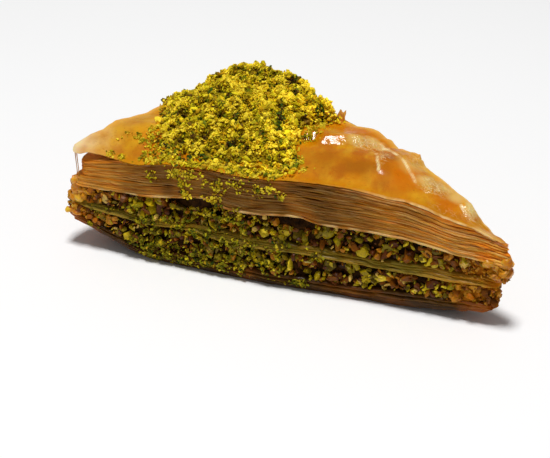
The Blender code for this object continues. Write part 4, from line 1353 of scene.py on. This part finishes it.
spill = {
    "sizes": (0.14, 0.4),
    "onLeaf": (  # middle, spread and how many clusters
        ((-23, -9), (2, 3), 16), ((-28.5, -9), (2.4, 3.4), 3), ((11, -11.5), (1.3, 1.8), 14),
        ((-10, -15), (8, 1.2), 44), ((3, -15.2), (5, 1), 26), ((10.4, 3), (0.8, 5), 10),
    ),
    "onCut": (  # middle along and up the cut, spread and how many clusters
        ((-12, 23.6), (6, 0.9), 7), ((2, 23.2), (5.5, 0.8), 7), ((-12.5, 20.5), (1.6, 1.8), 6),
        ((-7, 17.5), (2.4, 2), 16), ((-1, 14.5), (3, 1.8), 20), ((-16, 12), (6, 1.6), 17),
        ((-3, 9.5), (7, 2.4), 25), ((-18, 5), (7.5, 2), 38), ((1, 4), (8, 1.8), 22),
        ((12, 6), (4, 2.4), 5), ((-9, 2.2), (9, 0.8), 16), ((12, 2.2), (7, 0.7), 4),
    ),
    "clusterWidth": 0.75,
    "clusterCrumbs": (6, 40),
    "above": 60,
    "before": -40,
    "brightAbove": 21,
    # crumbs low on the cut side are darker: partly wet with syrup, partly painted shade
    "moistAndShadedBelow": 15,
    "moistAndShadedShare": 0.78,
    "moistAndShadeTint": (0.42, 0.5, 0.36, 1),
}


def dropped(surface, starts, direction, radii):
    # where each crumb lands, coming from its start in a direction, and which ones do
    places, landed = [], []
    for k, start in enumerate(starts.tolist()):
        hit = surface.ray_cast(Vector(start), Vector(direction))[0]
        if hit:
            places.append(Vector(hit) - Vector(direction) * radii[k] * 0.5)
            landed.append(k)
    return np.array(places), np.array(landed)


def clusters(look, groups, dice):
    # points round the middles of small clusters
    points = []
    for middle, spread, count in groups:
        for centre in np.array(middle) + dice.normal(size=(count, 2)) * spread:
            crumbs = dice.normal(size=(dice.integers(*look["clusterCrumbs"]), 2))
            points.append(centre + crumbs * look["clusterWidth"] * dice.uniform(0.5, 1.3))
    return np.vstack(points)


def makeSpill(look, seed):
    dice = np.random.default_rng(seed)
    onLeaf, onCut = clusters(look, look["onLeaf"], dice), clusters(look, look["onCut"], dice)
    fromAbove = np.insert(onLeaf, 2, look["above"], axis=1)
    fromFront = np.insert(onCut, 1, look["before"], axis=1)
    places, radii = [], []
    for starts, direction, surface in (
        (fromAbove, (0, 0, -1), surfaceOf(topLeaf)),
        (fromFront, (0, 1, 0), surfaceOf(topLeaves, middleLeaves, bottomLeaves, upperNuts, lowerNuts)),
    ):
        sizes = smallSizes(look["sizes"], len(starts), dice)
        spots, landed = dropped(surface, starts, direction, sizes)
        places.append(spots)
        radii.append(sizes[landed])
    places, radii = np.vstack(places), np.concatenate(radii)
    height = places[:, 2]
    tints = crumbTints(1.3 * grain(1.5, *places.T) + 0.3 * (height > look["brightAbove"]), dice)
    # darker low crumbs: wet with syrup, and painted shade
    moistAndShaded = (height < look["moistAndShadedBelow"]) & (dice.random(len(places)) < look["moistAndShadedShare"])
    tints[moistAndShaded] *= np.array(look["moistAndShadeTint"])
    return scattered("fallenCrumbs", chipLumps, places, crumbRadii(radii, dice), tints, dice)


dress(crumbMaterial, "ground_pistachio", None, makeSpill(spill, 131))
print("fallen crumbs are made")

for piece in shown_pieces():
    print(piece.name, len(piece.data.polygons), "faces")
